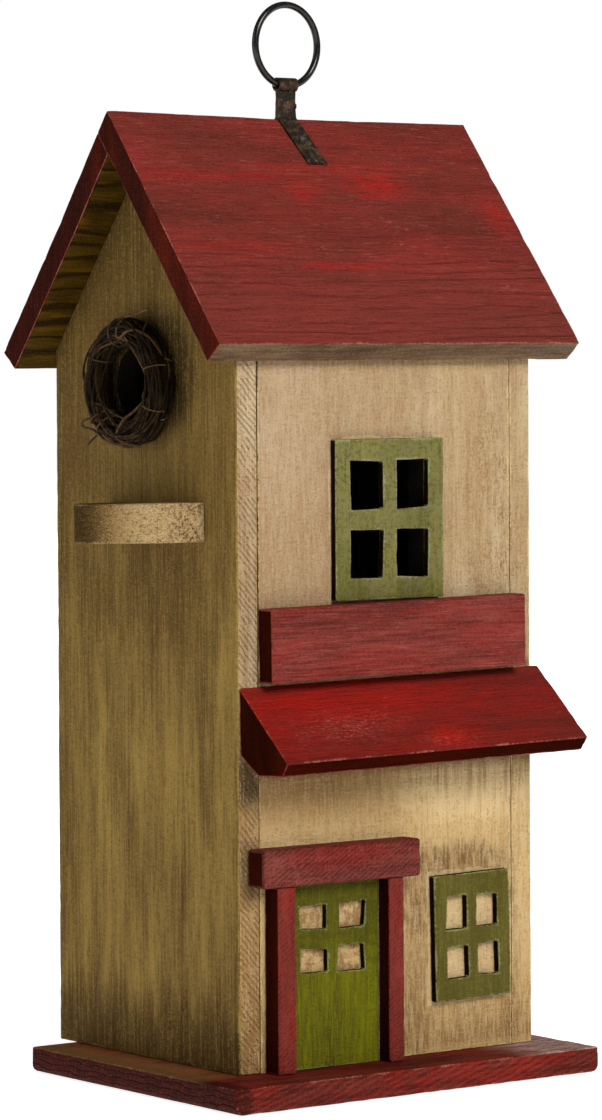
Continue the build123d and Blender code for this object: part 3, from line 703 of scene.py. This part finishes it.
def block(corner, opposite):
    """Solid box between two opposite corners."""
    (x0, y0, z0), (x1, y1, z1) = corner, opposite
    return prism([(x0, y0), (x1, y0), (x1, y1), (x0, y1)], 2, z0, z1)


def arc(centre, radius, start, turn, count):
    """Points of an arc, both ends included, from an angle and through a turn."""
    points = []
    for i in range(count + 1):
        angle = start + turn * i / count
        points.append((centre[0] + radius * cos(angle), centre[1] + radius * sin(angle)))
    return points


def paned(size, panes, pitch, thickness, centre, jitter, seed):
    """Board with four sawn panes, its back on y = 0; each pane's corners stray a little."""
    spread = random.Random(seed)
    columns, rows = [], []
    for axis, cuts in enumerate((columns, rows)):
        cuts += [-size[axis] / 2, size[axis] / 2]
        for side in (-0.5, 0.5):
            middle = centre[axis] + side * pitch[axis]
            cuts += [middle - panes[axis] / 2, middle + panes[axis] / 2]
        cuts.sort()
    solid = bmesh.new()
    grid = {}
    for i, x in enumerate(columns):
        for j, z in enumerate(rows):
            inner = 0 < i < 5 and 0 < j < 5
            dx = spread.uniform(-jitter, jitter) if inner else 0.0
            dz = spread.uniform(-jitter, jitter) if inner else 0.0
            grid[i, j] = solid.verts.new((x + dx, 0, z + dz))
    for i in range(5):
        for j in range(5):
            if i not in (1, 3) or j not in (1, 3):
                solid.faces.new((grid[i, j], grid[i + 1, j], grid[i + 1, j + 1], grid[i, j + 1]))
    front = bmesh.ops.extrude_face_region(solid, geom=solid.faces[:])["geom"]
    moved = [item for item in front if isinstance(item, bmesh.types.BMVert)]
    bmesh.ops.translate(solid, verts=moved, vec=(0, -thickness, 0))
    bmesh.ops.recalc_face_normals(solid, faces=solid.faces[:])
    return solid


def slice_up(solid, step):
    """Cuts a solid's faces into small ones, with a cut close beside each outer face."""
    points = [v.co.copy() for v in solid.verts]
    for axis in range(3):
        lowest = min(p[axis] for p in points)
        highest = max(p[axis] for p in points)
        count = int((highest - lowest) / step)
        cuts = [lowest + (i + 1) * (highest - lowest) / (count + 1) for i in range(count)]
        if highest - lowest > 4 * BESIDE_FACE:
            cuts += [lowest + BESIDE_FACE, highest - BESIDE_FACE]
        normal = Vector([1.0 if i == axis else 0.0 for i in range(3)])
        for place in cuts:
            geometry = solid.verts[:] + solid.edges[:] + solid.faces[:]
            bmesh.ops.bisect_plane(solid, geom=geometry, dist=1e-6, plane_co=normal * place, plane_no=normal)


def edge_distance(points, segments):
    """Distance from each point to the nearest of some line segments."""
    nearest = np.full(len(points), 1.0)
    for start, end in segments:
        way = end - start
        share = np.clip(((points - start) @ way) / (way @ way), 0, 1)
        nearest = np.minimum(nearest, np.linalg.norm(points - (start + share[:, None] * way), axis=1))
    return nearest


def worn(solid, arris, step, chips, swell=0.12, seed=0):
    """Wears a sharp solid, all in millimetres: round arrises, small faces, chipped edges, uneven faces."""
    sharp = [e for e in solid.edges if len(e.link_faces) == 2 and e.calc_face_angle() > SHARP_ANGLE]
    segments = [(np.array(e.verts[0].co), np.array(e.verts[1].co)) for e in sharp]
    bmesh.ops.bevel(solid, geom=sharp, offset=arris * MM, segments=3, profile=0.5, affect="EDGES")
    slice_up(solid, step * MM)
    solid.normal_update()
    distances = edge_distance(np.array([v.co for v in solid.verts]), segments)
    layer = solid.verts.layers.float.new("arris")
    shift = Vector((seed * 1.7, seed * 0.9, seed * 2.3))
    moves = []
    for vertex, distance in zip(solid.verts, distances):
        vertex[layer] = min(distance / (ARRIS_REACH * MM), 1.0)
        place = vertex.co / MM
        depth = swell * (0.5 + 0.5 * noise.noise(place / 24 + shift))
        near = max(0.0, 1.0 - distance / CHIP_REACH)
        chip = max(0.0, noise.noise(place / 4.2 + shift) + 0.45 * noise.noise(place / 1.7 - shift) - 0.02)
        depth += chips * 1.6 * chip * near * near
        moves.append(vertex.normal * (-depth * MM))
    for vertex, move in zip(solid.verts, moves):
        vertex.co += move
    return solid


def assign(solid, choose):
    """Gives each face of a sharp solid a material number from its outward normal."""
    solid.normal_update()
    for face in solid.faces:
        face.material_index = choose(face.normal)
    return solid


def piece(solid, name, paints, nodes, body="house", matrix=None):
    """Makes an object of a solid, standing for CAD nodes and riding on a body."""
    mesh = bpy.data.meshes.new(name)
    if matrix is not None:
        bmesh.ops.transform(solid, matrix=matrix, verts=solid.verts)
    solid.to_mesh(mesh)
    solid.free()
    for paint in paints:
        mesh.materials.append(MATERIAL[paint])
    mesh.polygons.foreach_set("use_smooth", [True] * len(mesh.polygons))
    mesh.set_sharp_from_angle(angle=SMOOTH_ANGLE)
    obj = bpy.data.objects.new(name, mesh)
    bpy.context.collection.objects.link(obj)
    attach(obj, body)
    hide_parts(*nodes)
    return obj


def cut(obj, cutter, paint):
    """Takes a solid out of a piece's mesh; the new faces get the piece's material of that number."""
    for face in cutter.faces:
        face.material_index = paint
    mesh = bpy.data.meshes.new("cutter")
    cutter.to_mesh(mesh)
    cutter.free()
    for material in obj.data.materials:
        mesh.materials.append(material)
    tool = bpy.data.objects.new("cutter", mesh)
    bpy.context.collection.objects.link(tool)
    modifier = obj.modifiers.new("cut", "BOOLEAN")
    modifier.object = tool
    modifier.solver = "EXACT"
    bpy.context.view_layer.update()
    result = bpy.data.meshes.new_from_object(obj.evaluated_get(bpy.context.evaluated_depsgraph_get()))
    obj.modifiers.remove(modifier)
    old = obj.data
    obj.data = result
    bpy.data.meshes.remove(old)
    bpy.data.objects.remove(tool)
    bpy.data.meshes.remove(mesh)


def tube(solid, points, radii, sides=7):
    """Adds a round rod with its own radius at each point of a path."""
    side = None
    rings = []
    for i, point in enumerate(points):
        way = (points[min(i + 1, len(points) - 1)] - points[max(i - 1, 0)]).normalized()
        if side is None:
            side = way.orthogonal().normalized()
        side = (side - way * side.dot(way)).normalized()
        other = way.cross(side)
        ring = []
        for k in range(sides):
            angle = 2 * pi * k / sides
            ring.append(solid.verts.new(point + (side * cos(angle) + other * sin(angle)) * radii[i]))
        rings.append(ring)
    for before, after in zip(rings, rings[1:]):
        for k in range(sides):
            m = (k + 1) % sides
            solid.faces.new((before[k], before[m], after[m], after[k]))
    solid.faces.new(reversed(rings[0]))
    solid.faces.new(rings[-1])


def curved(corners, count):
    """Smooth path through corners, with a number of points on each stretch."""
    ends = [corners[0] * 2 - corners[1]] + list(corners) + [corners[-1] * 2 - corners[-2]]
    path = []
    for i in range(1, len(ends) - 2):
        before, start, end, after = ends[i - 1:i + 3]
        for k in range(count):
            t = k / count
            bend = (end - before) * t + (before * 2 - start * 5 + end * 4 - after) * t ** 2
            bend += (start * 3 - before - end * 3 + after) * t ** 3
            path.append(start + bend / 2)
    path.append(corners[-1])
    return path


# --- pieces -----------------------------------------------------------------

def roof_under_z(y):
    """Height of the roof's underside at a distance from the ridge line."""
    return APEX - abs(y) * tan(ROOF_ANGLE)


def build_base():
    """Base board with both ends rounded underneath."""
    a, b = low("base_board"), high("base_board")
    radius = BASE_ROUNDING
    outline = [(a.x, b.z)]
    outline += arc((a.x + radius, radius), radius, pi, pi / 2, 6)
    outline += arc((b.x - radius, radius), radius, 1.5 * pi, pi / 2, 6)
    outline.append((b.x, b.z))
    solid = prism(outline, 1, a.y, b.y)
    worn(solid, 0.8, 4.0, 0.5, seed=1)
    piece(solid, "base", ["base_red"], ["base_board"])


def gable_outline():
    """The five corners of a gable wall, as (y, z)."""
    eave = roof_under_z(REAR)
    return [(FRONT, FLOOR), (REAR, FLOOR), (REAR, eave), (0.0, APEX), (FRONT, eave)]


def wall_faces(outward):
    """Chooser for a gable wall: 0 painted outside, 1 edges, 2 inside."""
    def choose(normal):
        if normal.x * outward > 0.9:
            return 0
        return 2 if normal.x * outward < -0.9 else 1
    return choose


def build_gables():
    """The two gable walls, the left one with its entrance hole."""
    paints = ["gable_cream", "wall_edge", "inside_painted_shade"]
    plain_paints = ["gable_cream", "facade_cream", "inside_painted_shade"]
    solid = assign(prism(gable_outline(), 0, LEFT, INNER_LEFT), wall_faces(-1))
    worn(solid, 0.6, 4.0, 0.25, seed=2)
    wall = piece(solid, "entrance_gable", paints, ["entrance_gable_wall"])
    circle = arc(HOLE_CENTRE, HOLE_RADIUS, 0.0, 2 * pi, 64)[:-1]
    cut(wall, prism(circle, 0, LEFT - CUT_PAST, INNER_LEFT + CUT_PAST), 2)
    solid = assign(prism(gable_outline(), 0, INNER_RIGHT, RIGHT), wall_faces(1))
    worn(solid, 0.25, 4.0, 0.15, seed=3)
    piece(solid, "plain_gable", plain_paints, ["plain_gable_wall"])


def build_front_wall():
    """Front wall between the gables with an opening behind the upper window."""
    outline = [(FRONT, FLOOR), (INNER_FRONT, FLOOR)]
    outline += [(INNER_FRONT, roof_under_z(INNER_FRONT)), (FRONT, roof_under_z(FRONT))]
    solid = prism(outline, 0, INNER_LEFT, INNER_RIGHT)
    assign(solid, lambda normal: 0 if normal.y < -0.9 else 1)
    worn(solid, 0.3, 4.0, 0.2, seed=4)
    wall = piece(solid, "front_wall", ["facade_cream", "inside_painted_shade"], ["front_wall_panel"])
    a, b = low("upper_window_frame"), high("upper_window_frame")
    inset = WALL_OPENING_INSET
    corner = (a.x + inset, FRONT - CUT_PAST, a.z + inset)
    cut(wall, block(corner, (b.x - inset, INNER_FRONT + CUT_PAST, b.z - inset)), 1)


def build_cleanout():
    """Rear wall that swings out."""
    solid = block(low("cleanout_door"), high("cleanout_door"))
    assign(solid, lambda normal: 1 if normal.y < -0.9 else 0)
    worn(solid, 0.7, 5.0, 0.4, seed=5)
    piece(solid, "cleanout", ["gable_cream", "inside_painted_shade"], ["cleanout_door"],
          "cleanout_door")


def roof_faces(side):
    """Chooser for a roof board: 0 top and ridge lap, 1 ends, 2 underside, 3 cut eave."""
    top = Vector((0, side * sin(ROOF_ANGLE), cos(ROOF_ANGLE)))
    down = Vector((0, side * cos(ROOF_ANGLE), -sin(ROOF_ANGLE)))

    def choose(normal):
        if abs(normal.x) > 0.9:
            return 1
        if normal.dot(top) > 0.9 or normal.dot(down) < -0.9:
            return 0
        return 3 if normal.dot(down) > 0.9 else 2
    return choose


def build_roof():
    """Both roof boards; the front one laps over the rear one's upper edge."""
    lap = ROOF_BOARD / sin(2 * ROOF_ANGLE)
    lap_point = (lap * cos(ROOF_ANGLE), RIDGE - lap * sin(ROOF_ANGLE))
    paints = ["roof_red", "roof_end", "roof_under", "eave_wood"]
    for side, node in ((-1, "roof_front_board"), (1, "roof_rear_board")):
        a, b = low(node), high(node)
        eave_y = a.y if side < 0 else b.y
        eave_z = RIDGE - abs(eave_y) * tan(ROOF_ANGLE)
        under_eave = (eave_y - side * ROOF_BOARD * sin(ROOF_ANGLE), eave_z - ROOF_BOARD * cos(ROOF_ANGLE))
        if side < 0:
            outline = [(0.0, RIDGE), (eave_y, eave_z), under_eave, lap_point]
        else:
            outline = [lap_point, (eave_y, eave_z), under_eave, (0.0, APEX)]
        solid = assign(prism(outline, 0, a.x, b.x), roof_faces(side))
        worn(solid, 0.35, 4.0, 0.3, seed=6 + side)
        for vertex in solid.verts:
            near = max(0.0, 1 - (RIDGE - vertex.co.z) / WARP_DEPTH)
            left = min(1.0, max(0.0, (WARP_START - vertex.co.x) / WARP_LENGTH))
            vertex.co += Vector((0, 0.7, 0.9)) * RIDGE_WARP * near * left
        piece(solid, node.replace("_board", ""), paints, [node])


def on_facade(x, z, tilt=0.0):
    """Placement for a shape drawn round the origin with its back on y = 0."""
    return Matrix.Translation((x, FRONT, z)) @ Matrix.Rotation(-tilt, 4, "Y")


def side_faces(normal):
    """0 for faces that look forward or up, 1 for ends and undersides, which take the painted-shade copy."""
    return 0 if normal.y < -0.3 or normal.z > 0.7 else 1


def green_board(name, node, paint, sizes, thickness, place, seed, centre=(0.0, 0.0), jitter=0.5, arris=0.45):
    """Thin green board with four hand-cut panes; sizes are those of the board, a pane and the pitch."""
    solid = paned(*sizes, thickness, centre, jitter * MM, seed)
    # edges and pane sides take the painted-shade copy
    assign(solid, lambda normal: 0 if normal.y < -0.3 else 1)
    worn(solid, arris, 3.0, 0.25, 0.05, seed=seed + 5)
    piece(solid, name, [paint, "green_side_shade"], [node], matrix=on_facade(*place))


def build_windows_and_door():
    """Green window frames and the blind door."""
    green_board("upper_window", "upper_window_frame", "window_green", UPPER_WINDOW, FRAME_THICKNESS,
                UPPER_WINDOW_PLACE, 3)
    green_board("lower_window", "lower_window_frame", "window_green", LOWER_WINDOW, FRAME_THICKNESS,
                LOWER_WINDOW_PLACE, 4)
    a, b = low("false_door"), high("false_door")
    middle = ((a.x + b.x) / 2, (a.z + b.z) / 2)
    panes_at = (DOOR_PANES_PLACE[0] - middle[0], DOOR_PANES_PLACE[1] - middle[1])
    sizes = ((b.x - a.x, b.z - a.z), DOOR_PANE, DOOR_PANE_PITCH)
    green_board("blind_door", "false_door", "door_green", sizes, b.y - a.y, middle, 5, panes_at, 0.6, 0.4)


def build_trim():
    """Sign board, awning, lintel and posts."""
    across, up = SIGN_HALF
    solid = assign(block((-across, -SIGN_THICKNESS, -up), (across, 0, up)), side_faces)
    worn(solid, 0.8, 3.0, 0.4, seed=11)
    piece(solid, "sign", ["sign_red", "trim_side_shade"], ["sign_board"], matrix=on_facade(*SIGN_PLACE))
    solid = prism(AWNING_OUTLINE, 0, -AWNING_HALF, AWNING_HALF)
    # ends take the trim's painted-shade copy; underside and lower front face the awning's
    assign(solid, lambda normal: 1 if abs(normal.x) > 0.7 else 2 if normal.z < -0.1 else 0)
    worn(solid, 0.6, 3.0, 0.35, seed=12)
    piece(solid, "awning_wedge", ["awning_red", "trim_side_shade", "awning_under_shade"], ["awning"],
          matrix=on_facade(*AWNING_PLACE))
    for node, paint, arris, seed in (("door_lintel", "lintel_red", 1.2, 13),
                                     ("door_post_left", "post_red", 0.8, 14),
                                     ("door_post_right", "post_red", 0.8, 15)):
        solid = assign(block(low(node), high(node)), side_faces)
        worn(solid, arris, 3.0, 0.4, seed=seed)
        piece(solid, node.replace("door_", ""), [paint, "trim_side_shade"], [node])


def build_ledge():
    """Half-round ledge with a rough sawn rim."""
    outline = arc((0.0, 0.0), LEDGE_RADIUS, pi / 2, pi, 40)
    solid = prism(outline, 2, -LEDGE_THICKNESS, 0)
    worn(solid, 0.7, 3.0, 0.5, seed=16)
    place = Matrix.Translation((LEFT, LEDGE_Y, LEDGE_TOP)) @ Matrix.Rotation(-LEDGE_TILT, 4, "X")
    piece(solid, "ledge", ["ledge_wood"], ["perch_ledge"], matrix=place)


# canes that stand out of the bundle: (radius, pale, then lift from the wall, y and z from the ring's
# centre), all in millimetres
LOOSE_CANES = (
    (0.8, True, ((8, 4, 25), (9, -3, 27), (10, -12, 28), (10, -21, 30))),
    (0.7, True, ((11, -2, 18), (11.5, -8, 21), (10.5, -12.5, 21.5), (9, -17, 20), (7, -20, 17),
                 (4, -23, 11))),
    (0.6, True, ((10.5, -5, 19), (10, -10, 14), (10, -15, 9), (9, -17.5, 4), (8, -17, 0), (8, -14, -6))),
    (0.7, True, ((8, -17, -6), (10, -10.5, -11.5), (11, -4.5, -15), (11, 0.5, -21), (10, -3, -24),
                 (7, -11, -26))),
    (0.6, False, ((8, 25, -7), (9.5, 18, -8), (10.5, 11, -9), (11, 3, -12), (11, -7, -15))),
    (0.7, False, ((8, 17, 12), (10, 16.5, 3), (10.5, 14.5, -3), (11, 10, -9), (11, 2, -17))),
    (0.7, True, ((8, 20, -14), (10, 26, -15.5), (10, 26, -18), (10, 18, -19.5), (11, 7, -24), (10, -3, -25))),
    (0.5, False, ((9, 14, -19), (10, 22.5, -25))),
    (0.8, True, ((5, -17, 18), (2.5, -22, 11), (1.5, -25, 3), (1.5, -24, -5))),
    (0.5, False, ((9, 12, 20), (10, 4, 24), (9, -6, 27.5))),
    (0.5, False, ((9, -14, 17), (10, -19, 23), (9, -21, 27))),
)

# twigs that bind the bundle: (angle round the ring where one starts, turns about the bundle, drift)
BINDINGS = ((0.28, 1, 0.1), (1.5, 1.5, 0.4), (2.7, 1, -0.3), (3.8, 1.5, 0.35), (5.85, 1, -0.15))


def build_wreath():
    """Ring of twisted vine round the entrance, with loose ends and thin binding twigs."""
    spread = random.Random(21)
    bark = bmesh.new()
    pale = bmesh.new()

    def on_ring(turn, across, roll):
        """Point of the bundle: turn round the ring, across from the bundle's middle, roll about it."""
        reach = WREATH_RADIUS + across * cos(roll)
        y = HOLE_CENTRE[0] - reach * 1.03 * cos(turn)
        z = HOLE_CENTRE[1] + reach * 0.97 * sin(turn)
        return Vector((LEFT - WREATH_TUBE - across * sin(roll), y, z))

    for i in range(WREATH_CANES):
        start = spread.uniform(0, 2 * pi)
        length = spread.uniform(0.35, 1.3) * 2 * pi
        across = spread.uniform(0.2, 1.0) ** 0.6 * WREATH_TUBE
        roll = spread.uniform(0, 2 * pi)
        twist = spread.choice((-1, 1)) * spread.uniform(0.2, 1.1)
        thick = spread.uniform(0.32, 0.68) * MM
        count = int(length / (2 * pi) * 90)
        points = []
        radii = []
        for k in range(count + 1):
            share = k / count
            turn = start + length * share
            wander = 1.5 * MM * noise.noise(Vector((i * 3.1, turn * 1.7, 0.0)))
            points.append(on_ring(turn, across + wander, roll + twist * turn))
            taper = 0.45 + 0.55 * min(1.0, 6 * share, 6 * (1 - share))
            radii.append(thick * taper * (1 + 0.25 * noise.noise(Vector((i * 7.7, turn * 9.0, 4.0)))))
        tube(pale if i % 9 == 4 else bark, points, radii)
    for turn0, turns, drift in BINDINGS:
        points = []
        for k in range(41):
            roll = 2 * pi * turns * k / 40
            points.append(on_ring(turn0 + drift * k / 40, WREATH_TUBE + 0.1 * MM, roll))
        tube(pale, points, [0.33 * MM] * 41, sides=6)
    for number, (radius, is_pale, path) in enumerate(LOOSE_CANES):
        corners = []
        for lift, y, z in path:
            corners.append(Vector((LEFT - lift * MM, HOLE_CENTRE[0] + y * MM, HOLE_CENTRE[1] + z * MM)))
        points = curved(corners, 8)
        radii = []
        for k in range(len(points)):
            knot = 0.3 * noise.noise(Vector((number * 5.1, k * 0.5, 2.0)))
            radii.append(0.82 * radius * MM * (1 + knot) * (0.7 if k in (0, len(points) - 1) else 1.0))
        tube(pale if is_pale else bark, points, radii)
    for name, solid, paint in (("vine_wreath", bark, "vine_bark"), ("vine_wreath_pale", pale, "vine_pale")):
        bmesh.ops.recalc_face_normals(solid, faces=solid.faces[:])
        piece(solid, name, [paint], ["entrance_wreath"])


def strap_path():
    """Middle line of the strap, seen from its end: list of (distance down the front or back slope, y, z)."""
    lift = STRAP_THICKNESS / 2
    down = Vector((cos(ROOF_ANGLE), -sin(ROOF_ANGLE)))
    path = []
    for i in range(13):
        reach = STRAP_FLAP * (1 - i / 12) + 0.6 * MM
        path.append((reach, -down.x * reach, RIDGE + down.y * reach + lift / cos(ROOF_ANGLE)))
    for i in range(8):
        path.append((0.0, -lift, RIDGE + (1.6 + 1.5 * i) * MM))
    front = list(path)
    for y, z in arc((0.0, RING_PIVOT_Z), STRAP_LOOP, radians(256), radians(-332), 20):
        path.append((0.0, y, z))
    return path + [(-reach, -y, z) for reach, y, z in reversed(front)]


def build_strap():
    """Metal strip folded round the ring, its front flap skewed and its edges uneven."""
    solid = bmesh.new()
    path = strap_path()
    ends = (0, len(path) - 1)
    rows = []
    for i, (reach, y, z) in enumerate(path):
        before, after = path[max(i - 1, 0)], path[min(i + 1, len(path) - 1)]
        way = Vector((after[1] - before[1], after[2] - before[2])).normalized()
        out = Vector((-way.y, way.x)) * STRAP_THICKNESS / 2
        centre = STRAP_X + max(reach, 0.0) * tan(STRAP_SKEW)
        waist = 1.0 - 0.08 * max(0.0, 1 - abs(z - RIDGE - 8 * MM) / (7 * MM))
        row = []
        for side in (-1, -0.5, 0, 0.5, 1):
            rough = 0.18 * MM * noise.noise(Vector((i * 0.6, side * 3.0, 5.0))) if abs(side) == 1 else 0.0
            ragged = 0.7 * MM * noise.noise(Vector((side * 4.1, 3.0, 1.0))) if i in ends else 0.0
            x = centre + side * waist * STRAP_WIDTH / 2 + rough
            spot = Vector((x, y + ragged, z - abs(ragged)))
            row.append([solid.verts.new(spot + Vector((0, out.x * k, out.y * k))) for k in (-1, 1)])
        rows.append(row)
    for first, second in zip(rows, rows[1:]):
        for k in range(4):
            solid.faces.new((first[k][1], first[k + 1][1], second[k + 1][1], second[k][1]))
            solid.faces.new((first[k][0], second[k][0], second[k + 1][0], first[k + 1][0]))
        solid.faces.new((first[0][0], first[0][1], second[0][1], second[0][0]))
        solid.faces.new((first[4][0], second[4][0], second[4][1], first[4][1]))
    for row in (rows[0], rows[-1]):
        for k in range(4):
            solid.faces.new((row[k][0], row[k + 1][0], row[k + 1][1], row[k][1]))
    bmesh.ops.recalc_face_normals(solid, faces=solid.faces[:])
    knob = Matrix.Translation((STRAP_X + 4.3 * MM, -0.9 * MM, RIDGE + 5.2 * MM))
    knob = knob @ Matrix.Diagonal((0.7, 0.6, 1.3, 1))
    bmesh.ops.create_icosphere(solid, subdivisions=2, radius=1.0 * MM, matrix=knob)
    piece(solid, "strap", ["dark_metal"], ["hanger_strap"])


def build_hanger():
    """Ring, strap and the strap's nails."""
    use_cad("hanger_ring", "ring_metal")
    use_cad("strap_nails", "steel")
    build_strap()


def use_cad(node, material):
    """Keeps a CAD node's shape and gives it a material."""
    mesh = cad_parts[node].data
    mesh.materials.clear()
    mesh.materials.append(MATERIAL[material])


def build_fasteners():
    """The turn button and the fasteners, in their CAD shapes."""
    for node in ("button_washer", "button_screw", "roof_nails", "wall_brads", "trim_nails", "ledge_nails",
                 "base_screws"):
        use_cad(node, "steel")
    use_cad("cleanout_pivot_nails", "nail_paint")
    use_cad("turn_button", "button_wood")


# --- stage, light and camera -------------------------------------------------

def build_stage():
    """Pale floor that runs out to a white backdrop."""
    solid = bmesh.new()
    bmesh.ops.create_circle(solid, cap_ends=True, segments=96, radius=6.0)
    mesh = bpy.data.meshes.new("floor")
    solid.to_mesh(mesh)
    solid.free()
    g = Graph("pale_floor")
    g.colour = (245, 245, 245)
    material = g.done(0.9, specular=0.1)
    g.shader.inputs["Emission Color"].default_value = (1, 1, 1, 1)
    g.shader.inputs["Emission Strength"].default_value = 0.85
    mesh.materials.append(material)
    floor = bpy.data.objects.new("floor", mesh)
    floor.location.z = -0.5 * MM
    bpy.context.collection.objects.link(floor)


def soft_light(name, place, strength, spread):
    """Even white light from the direction of a place, soft over an angle in degrees."""
    data = bpy.data.lights.new(name, "SUN")
    data.energy = strength
    data.angle = radians(spread)
    light = bpy.data.objects.new(name, data)
    light.location = place
    light.rotation_euler = Vector(place).to_track_quat("Z", "Y").to_euler()
    bpy.context.collection.objects.link(light)


def build_lights():
    """Key from the front, weak fill from the left rear, dim surroundings and a white backdrop."""
    soft_light("key", (-0.1, -2.0, 1.25), 2.75, 26)
    soft_light("fill", (-1.9, 1.0, 0.35), 0.68, 50)
    world = bpy.data.worlds.new("studio")
    bpy.context.scene.world = world
    world.use_nodes = True
    nodes = world.node_tree.nodes
    links = world.node_tree.links
    nodes.clear()
    output = nodes.new("ShaderNodeOutputWorld")
    mix = nodes.new("ShaderNodeMixShader")
    path = nodes.new("ShaderNodeLightPath")
    ambient = nodes.new("ShaderNodeBackground")
    backdrop = nodes.new("ShaderNodeBackground")
    ambient.inputs["Strength"].default_value = 0.16
    backdrop.inputs["Color"].default_value = (1, 1, 1, 1)
    ambient.inputs["Color"].default_value = (1, 1, 1, 1)
    links.new(path.outputs["Is Camera Ray"], mix.inputs[0])
    links.new(ambient.outputs[0], mix.inputs[1])
    links.new(backdrop.outputs[0], mix.inputs[2])
    links.new(mix.outputs[0], output.inputs[0])


def build_camera():
    """Camera at the viewing angle, level with the entrance."""
    data = bpy.data.cameras.new("camera")
    data.lens = CAMERA_LENS
    data.sensor_width = 36.0
    data.shift_y = CAMERA_SHIFT_Y
    camera = bpy.data.objects.new("camera", data)
    level = cos(CAMERA_PITCH)
    forward = Vector((sin(CAMERA_YAW) * level, cos(CAMERA_YAW) * level, sin(CAMERA_PITCH)))
    right = Vector((cos(CAMERA_YAW), -sin(CAMERA_YAW), 0))
    up = right.cross(forward)
    turned_right = right * cos(CAMERA_ROLL) + up * sin(CAMERA_ROLL)
    turned_up = up * cos(CAMERA_ROLL) - right * sin(CAMERA_ROLL)
    turn = Matrix((turned_right, turned_up, -forward)).transposed()
    camera.matrix_world = Matrix.Translation(CAMERA_PLACE) @ turn.to_4x4()
    bpy.context.collection.objects.link(camera)
    bpy.context.scene.camera = camera


build_base()
build_gables()
build_front_wall()
build_cleanout()
build_roof()
build_windows_and_door()
build_trim()
build_ledge()
build_wreath()
build_hanger()
build_fasteners()
build_stage()
build_lights()
build_camera()
bpy.context.scene.view_settings.view_transform = "Standard"
